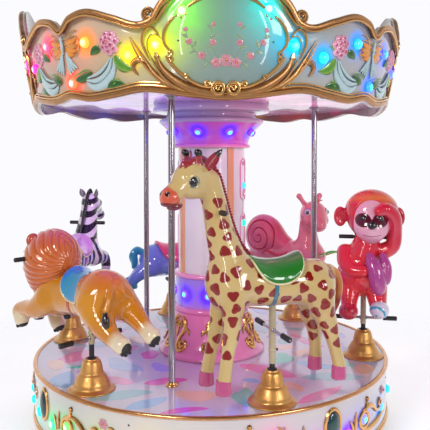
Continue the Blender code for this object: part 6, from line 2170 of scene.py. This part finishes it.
def add_monkey():
    figure = Figure("monkey")
    clay = Clay((-0.24, -0.24, 0.22), (0.26, 0.27, 1.08), 0.0055)
    clay.egg((0.0, -0.012, 0.500), (0.124, 0.150, 0.128), 0.04)
    clay.limb([(0.0, -0.012, 0.590, 0.108), (0.015, 0.015, 0.690, 0.082)], 0.03)
    for leg in ([(0.030, -0.078, 0.430, 0.068), (0.070, -0.086, 0.365, 0.052), (0.090, -0.090, 0.300, 0.046)],
                [(0.030, 0.072, 0.430, 0.070), (0.085, 0.080, 0.355, 0.054), (0.105, 0.085, 0.312, 0.046)]):
        clay.limb(leg, 0.016)
    clay.limb([(0.010, -0.110, 0.640, 0.052), (0.060, -0.112, 0.585, 0.046), (0.110, -0.070, 0.545, 0.040),
               (0.128, -0.010, 0.545, 0.036)], 0.016)
    clay.limb([(-0.110, 0, 0.430, 0.024), (-0.165, 0, 0.450, 0.020), (-0.192, 0, 0.525, 0.020),
               (-0.165, 0, 0.588, 0.022)], 0.02)
    # The head, with the hair as a cap round the face
    clay.egg((0.010, 0.045, 0.872), (0.140, 0.152, 0.152), 0.03)
    clay.egg((0.000, 0.045, 0.905), (0.142, 0.158, 0.120), 0.02)
    clay.egg((0.140, 0.040, 0.856), (0.060, 0.112, 0.128), 0.010, cut=True)
    for side, middle in ((-1.0, -0.142), (1.0, 0.205)):
        clay.egg((-0.005, middle, 0.858), (0.026, 0.040, 0.062), 0.012)
        clay.egg((0.022, middle + side * 0.006, 0.858), (0.016, 0.022, 0.040), 0.006, cut=True)
    clay.limb([(0.005, 0.118, 0.650, 0.052), (0.020, 0.170, 0.690, 0.047), (0.045, 0.180, 0.780, 0.044),
               (0.095, 0.168, 0.870, 0.044), (0.135, 0.122, 0.915, 0.040), (0.150, 0.080, 0.905, 0.030)], 0.010)
    points, faces = clay.skin()
    x, y, z = points.T
    # Painted highlight: an orange band across the top of the hair, on its front half
    sheen = 0.018 - np.abs(z - 0.985 + 0.9 * (y - 0.045) ** 2)
    sheen[x < 0.0] = -0.05
    sole = 0.345 - z
    coat_paint = gel_coat("monkey_coat", paint_of(222, 44, 58), paint_of(206, 34, 66), 0.07, clouds=3.0, layers=[
        ("sheen", paint_of(228, 120, 66), 0.016), ("sole", paint_of(214, 56, 80), 0.03)])
    coat = figure.add("coat", (points, faces), coat_paint, slot="monkey_skin", sharp=80.0, sheen=sheen, sole=sole)
    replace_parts(coat, "monkey")
    add_monkey_face(figure)
    add_monkey_extras(figure)
    figure.post(0.215, 0.460, 0.238, knob=False)
    rail = figure.handle(0.0, 0.735, 0.150)
    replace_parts(rail, "monkey_handle")


def add_monkey_face(figure):
    face = Clay((0.02, -0.11, 0.70), (0.24, 0.20, 1.00), 0.004)
    face.egg((0.085, 0.040, 0.866), (0.062, 0.108, 0.112), 0.02)
    face.egg((0.105, 0.040, 0.800), (0.070, 0.100, 0.078), 0.03)
    face.egg((0.060, 0.040, 0.760), (0.070, 0.072, 0.062), 0.03)
    points, faces = face.skin()
    x, y, z = points.T
    across = np.abs(y - 0.040)
    # The dark mask: two rounds that meet over the nose
    mask = 0.046 - np.sqrt((across - 0.050) ** 2 + ((z - 0.852) * 1.12) ** 2)
    mask = np.maximum(mask, np.minimum(0.022 - across, 0.020 - np.abs(z - 0.838)))
    mask[x < 0.08] = -0.05
    smile = 0.0022 - np.abs(z - 0.757 - 3.2 * across ** 2)
    smile[(across > 0.055) | (x < 0.08)] = -0.05
    paint = gel_coat("monkey_face", paint_of(232, 176, 196), paint_of(222, 158, 184), 0.07, clouds=5.0, layers=[
        ("mask", paint_of(84, 12, 36), 0.002), ("smile", paint_of(150, 60, 90), 0.0012)])
    figure.add("face", (points, faces), paint, sharp=80.0, mask=mask, smile=smile)
    figure.add("nose", ball((0.176, 0.040, 0.826), (0.026, 0.016), (0.92, 0.0, 0.25)), EYE_BLACK)
    for side in (1.0, -1.0):
        name = "left" if side > 0 else "right"
        add_eye(figure, f"eye_{name}", (0.140, 0.040 + side * 0.046, 0.860), (0.95, side * 0.25, 0.10), 0.019,
                MONKEY_LID)


def add_monkey_extras(figure):
    """The banana held at the chest, and the striped shoes."""
    held = Clay((0.02, -0.04, 0.36), (0.20, 0.17, 0.70), 0.0045)
    held.limb([(0.090, 0.030, 0.630, 0.026), (0.118, 0.052, 0.580, 0.044), (0.128, 0.072, 0.510, 0.050),
               (0.118, 0.082, 0.450, 0.044), (0.100, 0.086, 0.415, 0.024)], 0.01)
    held.limb([(0.075, 0.110, 0.630, 0.024), (0.100, 0.128, 0.570, 0.032), (0.098, 0.128, 0.500, 0.030),
               (0.084, 0.120, 0.462, 0.016)], 0.010)
    held_paint = gel_coat("held_violet", paint_of(186, 74, 140), paint_of(168, 66, 142), 0.07, clouds=5.0)
    figure.add("held_fruit", held.skin(), held_paint, sharp=80.0)
    for name, (x, y, z) in (("left", (0.128, 0.088, 0.318)), ("right", (0.112, -0.092, 0.300))):
        shoe = Clay((x - 0.09, y - 0.08, z - 0.07), (x + 0.10, y + 0.08, z + 0.09), 0.004)
        shoe.egg((x, y, z), (0.062, 0.058, 0.052), 0.01)
        points, faces = shoe.skin()
        px, py, pz = points.T
        ripple = 0.42 - np.abs(np.sin(64.0 * np.sqrt((py - y + 0.02) ** 2 + (pz - z + 0.025) ** 2)))
        colours = (paint_of(226, 216, 232), paint_of(210, 206, 228), paint_of(64, 164, 196)) if name == "left" \
            else (paint_of(214, 40, 60), paint_of(200, 34, 66), paint_of(176, 24, 56))
        paint = gel_coat(f"shoe_{name}", colours[0], colours[1], 0.08, layers=[("ripple", colours[2], 0.12)])
        figure.add(f"shoe_{name}", (points, faces), paint, sharp=80.0, ripple=ripple)


MONKEY_LID = gel_coat("lid_wine", paint_of(60, 10, 28), paint_of(48, 8, 24), 0.08)


def add_snail():
    figure = Figure("snail")
    clay = Clay((-0.48, -0.14, 0.38), (0.36, 0.14, 1.00), 0.005)
    clay.limb([(0.185, 0, 0.495, 0.076), (0.050, 0, 0.508, 0.086), (-0.120, 0, 0.500, 0.083),
               (-0.300, 0, 0.478, 0.062), (-0.400, 0, 0.458, 0.040), (-0.440, 0, 0.452, 0.016)], 0.04)
    clay.limb([(0.118, 0, 0.560, 0.090), (0.118, 0, 0.660, 0.070), (0.124, 0, 0.760, 0.066)], 0.05)
    pivot, yaw = (0.140, 0.0), -30.0

    def turned_head(stations):
        return head_turned(stations, pivot, yaw)

    def head_egg(ahead, left, height, radii, melt=0.02, pitch=0.0, cut=False):
        clay.egg(turned_head([(ahead, left, height)])[0], radii, melt, yaw, pitch, cut)

    head_egg(0.045, 0.0, 0.802, (0.106, 0.098, 0.100), 0.03)
    clay.limb(turned_head([(0.060, 0, 0.790, 0.080), (0.120, 0, 0.745, 0.062), (0.138, 0, 0.735, 0.052)]), 0.03)
    for side in (1.0, -1.0):
        clay.limb(turned_head([(0.000, side * 0.045, 0.870, 0.020), (-0.010, side * 0.066, 0.905, 0.0165),
                               (-0.020, side * 0.085, 0.935, 0.0215)]), 0.012)
        head_egg(0.102, side * 0.062, 0.760, (0.036, 0.026, 0.030), 0.02)
    points, faces = clay.skin()
    x, y, z = points.T
    c, s = math.cos(math.radians(yaw)), math.sin(math.radians(yaw))
    ahead = (x - pivot[0]) * c + y * s
    left = y * c - (x - pivot[0]) * s
    sole = 0.440 - z
    lip = 0.0022 - np.abs(z - 0.712 - 2.4 * left ** 2)
    lip[(ahead < 0.10) | (np.abs(left) > 0.055)] = -0.05
    cheek = 0.030 - np.sqrt((ahead - 0.120) ** 2 + (np.abs(left) - 0.060) ** 2 + (z - 0.745) ** 2)
    coat_paint = gel_coat("snail_coat", paint_of(240, 138, 152), paint_of(236, 122, 142), 0.08, clouds=3.0, layers=[
        ("sole", paint_of(226, 88, 110), 0.03), ("cheek", paint_of(238, 104, 128), 0.014),
        ("lip", paint_of(176, 44, 84), 0.0012)])
    coat = figure.add("coat", (points, faces), coat_paint, slot="snail_skin", sharp=80.0,
                      sole=sole, lip=lip, cheek=cheek)
    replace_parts(coat, "snail")
    add_snail_shell(figure)
    for side in (1.0, -1.0):
        name = "left" if side > 0 else "right"
        centre = turned_head([(0.100, side * 0.070, 0.822)])[0]
        way = turned_head([(0.60, side * 0.78, 0.08)])[0]
        way = np.array(way) - np.array([pivot[0], pivot[1], 0.0])
        add_eye(figure, f"eye_{name}", centre, way, 0.0270, SNAIL_LID, EYE_WHITE)
    gold_leaf = shaded_antique_gold("leaf_edge_gold", (0.80, 0.52, 0.16), (0.46, 0.22, 0.06), 0.2)
    green = gel_coat("leaf_green", paint_of(70, 176, 60), paint_of(50, 150, 52), 0.10, clouds=8.0)
    leaves = [petal((0.196, side * 0.035, 0.470), (0.335, side * 0.125, 0.520), 0.085, (0.1, side * 0.3, 1.0),
                    cup=0.35, thick=0.010, bend=0.016) for side in (1.0, -1.0)]
    figure.add("leaves", join(*leaves), green)
    edges = [tube([(0.200, side * 0.036, 0.476, 0.004), (0.262, side * 0.068, 0.508, 0.006),
                   (0.330, side * 0.120, 0.526, 0.003)], 10) for side in (1.0, -1.0)]
    figure.add("leaf_ribs", join(*edges), gold_leaf)
    petals = []
    middle = np.array(turned_head([(0.075, 0.030, 0.902)])[0])
    for i in range(5):
        angle = 2.0 * math.pi * i / 5
        way = np.array([math.cos(angle), math.sin(angle), 0.25])
        petals.append(petal(middle, middle + way * 0.030, 0.024, (0, 0, 1), cup=0.4, thick=0.006))
    flower = gel_coat("flower_orange", paint_of(236, 132, 104), paint_of(228, 112, 90), 0.14)
    figure.add("flower", join(*petals, ball(middle, (0.009, 0.008), (0, 0, 1), 16, 10)), flower)
    figure.post(0.225, 0.500, 0.330)


def add_snail_shell(figure):
    """The shell: a coiled whorl with a sunken seam, and its lip along the back."""
    middle = (-0.290, 0.606)
    clay = Clay((-0.49, -0.13, 0.40), (0.08, 0.13, 0.80), 0.0045)
    clay.egg((middle[0], 0.0, middle[1]), (0.172, 0.096, 0.170), 0.02)
    clay.limb([(-0.235, 0, 0.630, 0.096), (-0.130, 0, 0.560, 0.086), (-0.050, 0, 0.522, 0.076),
               (0.030, 0, 0.540, 0.050)], 0.05)

    def seam(x, y, z):
        px, pz = x - middle[0] - 0.012, z - middle[1]
        radius = np.sqrt(px ** 2 + pz ** 2)
        turn = np.arctan2(pz, -px) / (2.0 * math.pi)
        lead = radius / 0.056 - turn
        near = np.abs(lead - np.round(lead))
        inside = np.clip((0.176 - radius) / 0.02, 0.0, 1.0)
        return np.clip(1.0 - near / 0.16, 0.0, 1.0) ** 1.5 * inside + 0.0 * y

    clay.press((-0.49, -0.13, 0.40), (0.08, 0.13, 0.80), lambda x, y, z: 0.016 * seam(x, y, z)
               * np.clip((np.abs(y) - 0.01) / 0.03, 0.0, 1.0))
    points, faces = clay.skin()
    x, y, z = points.T
    # Painted shade: the sunken spiral seam in a darker red
    groove = seam(x, y, z) - 0.52
    groove[np.abs(y) < 0.02] = -0.5
    # Painted highlight: a paler band along the top of the shell
    ridge = np.clip(1.0 - np.abs(z - 0.775 + 0.9 * (x + 0.29) ** 2) / 0.06, 0, 1) - 0.5
    paint = gel_coat("snail_shell", paint_of(238, 112, 134), paint_of(230, 94, 122), 0.08, clouds=4.0, layers=[
        ("ridge", paint_of(232, 128, 170), 0.4), ("groove", paint_of(196, 36, 74), 0.22)])
    figure.add("shell", (points, faces), paint, sharp=80.0, groove=groove, ridge=ridge)
    lip_paint = gel_coat("shell_lip", paint_of(214, 56, 88), paint_of(200, 44, 80), 0.08)
    lips = []
    for side in (1.0, -1.0):
        lips.append(tube([(0.062, side * 0.030, 0.596, 0.006), (0.030, side * 0.060, 0.560, 0.011),
                          (-0.030, side * 0.078, 0.500, 0.013), (-0.120, side * 0.086, 0.478, 0.013),
                          (-0.200, side * 0.084, 0.500, 0.011), (-0.255, side * 0.082, 0.478, 0.007)], 12))
    figure.add("shell_lips", join(*lips), lip_paint)


SNAIL_LID = gel_coat("lid_lilac", paint_of(208, 120, 190), paint_of(196, 110, 182), 0.10)


def add_floor():
    floor_paint = Finish("studio_floor", 0.6)
    pale = floor_paint.mix(floor_paint.noise(1.5), (0.84, 0.84, 0.86), (0.90, 0.90, 0.91))
    floor_paint.colour(pale)
    floor_paint.glow(pale, 0.42)
    away = floor_paint.add("VectorMath", {0: floor_paint.here}, operation="LENGTH").outputs["Value"]
    clear = floor_paint.add("BsdfTransparent").outputs[0]
    fade = floor_paint.add("MixShader", {0: floor_paint.span(away, 1.35, 3.2)})
    floor_paint.feed(fade.inputs[1], floor_paint.shader.outputs[0])
    floor_paint.feed(fade.inputs[2], clear)
    floor_paint.feed(floor_paint.tree.nodes["Material Output"].inputs["Surface"], fade.outputs[0])
    mesh = bpy.data.meshes.new("studio_floor")
    bm = bmesh.new()
    bmesh.ops.create_circle(bm, cap_ends=True, segments=96, radius=40.0)
    bm.to_mesh(mesh)
    bm.free()
    mesh.materials.append(floor_paint.material)
    floor = bpy.data.objects.new("studio_floor", mesh)
    floor.location.z = -0.0005
    bpy.context.scene.collection.objects.link(floor)


def add_light(name, kind, location, energy, colour, size, target=(0.0, 0.0, 1.2)):
    data = bpy.data.lights.new(name, kind)
    data.energy = energy
    data.color = colour
    if kind == "AREA":
        data.size = size
    else:
        data.shadow_soft_size = size
    light = bpy.data.objects.new(name, data)
    light.location = location
    light.rotation_euler = (Vector(target) - Vector(location)).to_track_quat("-Z", "Y").to_euler()
    light.visible_camera = False
    light.visible_glossy = kind == "AREA" and name != "back"
    bpy.context.scene.collection.objects.link(light)
    return light


def add_world():
    """A white backdrop behind, and a darker room in front for the gloss to mirror."""
    world = bpy.data.worlds.new("studio")
    world.use_nodes = True
    tree = world.node_tree
    background = tree.nodes["Background"]
    background.inputs["Color"].default_value = (0.97, 0.97, 1.0, 1.0)
    way = tree.nodes.new("ShaderNodeTexCoord")
    parts = tree.nodes.new("ShaderNodeSeparateXYZ")
    tree.links.new(way.outputs["Generated"], parts.inputs[0])
    strengths = []
    for socket, low, high, to_low, to_high in (("Y", -0.5, 0.6, 0.34, 1.0), ("Z", 0.35, 0.80, 0.0, -0.40)):
        made = tree.nodes.new("ShaderNodeMapRange")
        tree.links.new(parts.outputs[socket], made.inputs["Value"])
        for key, value in (("From Min", low), ("From Max", high), ("To Min", to_low), ("To Max", to_high)):
            made.inputs[key].default_value = value
        strengths.append(made.outputs["Result"])
    total = tree.nodes.new("ShaderNodeMath")
    total.operation = "ADD"
    total.use_clamp = True
    for i, strength in enumerate(strengths):
        tree.links.new(strength, total.inputs[i])
    tree.links.new(total.outputs[0], background.inputs["Strength"])
    bpy.context.scene.world = world


def add_lights():
    """Soft studio light, and the pink, violet and blue that the lamps give under the canopy."""
    add_world()
    add_light("key", "AREA", (-3.2, -5.0, 4.4), 155.0, (1.0, 0.98, 0.95), 1.6)
    add_light("fill", "AREA", (4.2, -4.4, 2.6), 80.0, (0.96, 0.98, 1.0), 1.4)
    add_light("back", "AREA", (1.0, 5.0, 4.0), 60.0, (1.0, 0.98, 0.96), 3.0)
    for name, spot in (("strip_left", (-1.9, -5.2, 2.1)), ("strip_right", (2.6, -4.6, 2.0))):
        strip = add_light(name, "AREA", spot, 26.0, (1.0, 0.99, 0.97), 0.22)
        strip.data.shape = "RECTANGLE"
        strip.data.size_y = 2.6
    glows = (
        (30.0, 0.66, 1.42, 1.9, (1.0, 0.14, 0.40)), (75.0, 0.66, 1.42, 2.2, (1.0, 0.14, 0.42)),
        (-25.0, 0.66, 1.42, 1.6, (0.50, 0.16, 1.0)), (-70.0, 0.66, 1.42, 2.4, (0.20, 0.14, 1.0)),
        (-115.0, 0.62, 1.42, 2.0, (0.45, 0.12, 1.0)), (150.0, 0.62, 1.42, 2.0, (1.0, 0.20, 0.60)),
        (8.0, 0.46, 0.26, 0.35, (0.95, 0.15, 0.65)), (-35.0, 0.48, 0.26, 0.35, (0.75, 0.2, 1.0)),
    )
    for i, (bearing, radius, height, energy, colour) in enumerate(glows):
        add_light(f"glow_{i + 1}", "POINT", at_bearing(radius, bearing, height), energy, colour, 0.08)


def add_camera():
    """The photograph's view: eye height of a standing person, slightly down and to the right."""
    data = bpy.data.cameras.new("camera")
    data.sensor_width = 36.0
    data.lens = 51.87
    data.shift_x = -0.0214
    data.shift_y = -0.096
    camera = bpy.data.objects.new("camera", data)
    camera.location = (0.0, -3.968, 1.222 + DECK)
    camera.rotation_euler = (math.radians(90.0 - 1.5), 0.0, -0.0205)
    bpy.context.scene.collection.objects.link(camera)
    bpy.context.scene.camera = camera


add_camera()
add_floor()
add_lights()
bpy.context.scene.view_settings.view_transform = "Standard"
dress_base()
dress_deck()
dress_skirt()
dress_column()
dress_ceiling_and_roof()
dress_poles()
dress_bells()
dress_canopy()
add_giraffe()
add_lion()
add_zebra()
add_pony()
add_monkey()
add_snail()
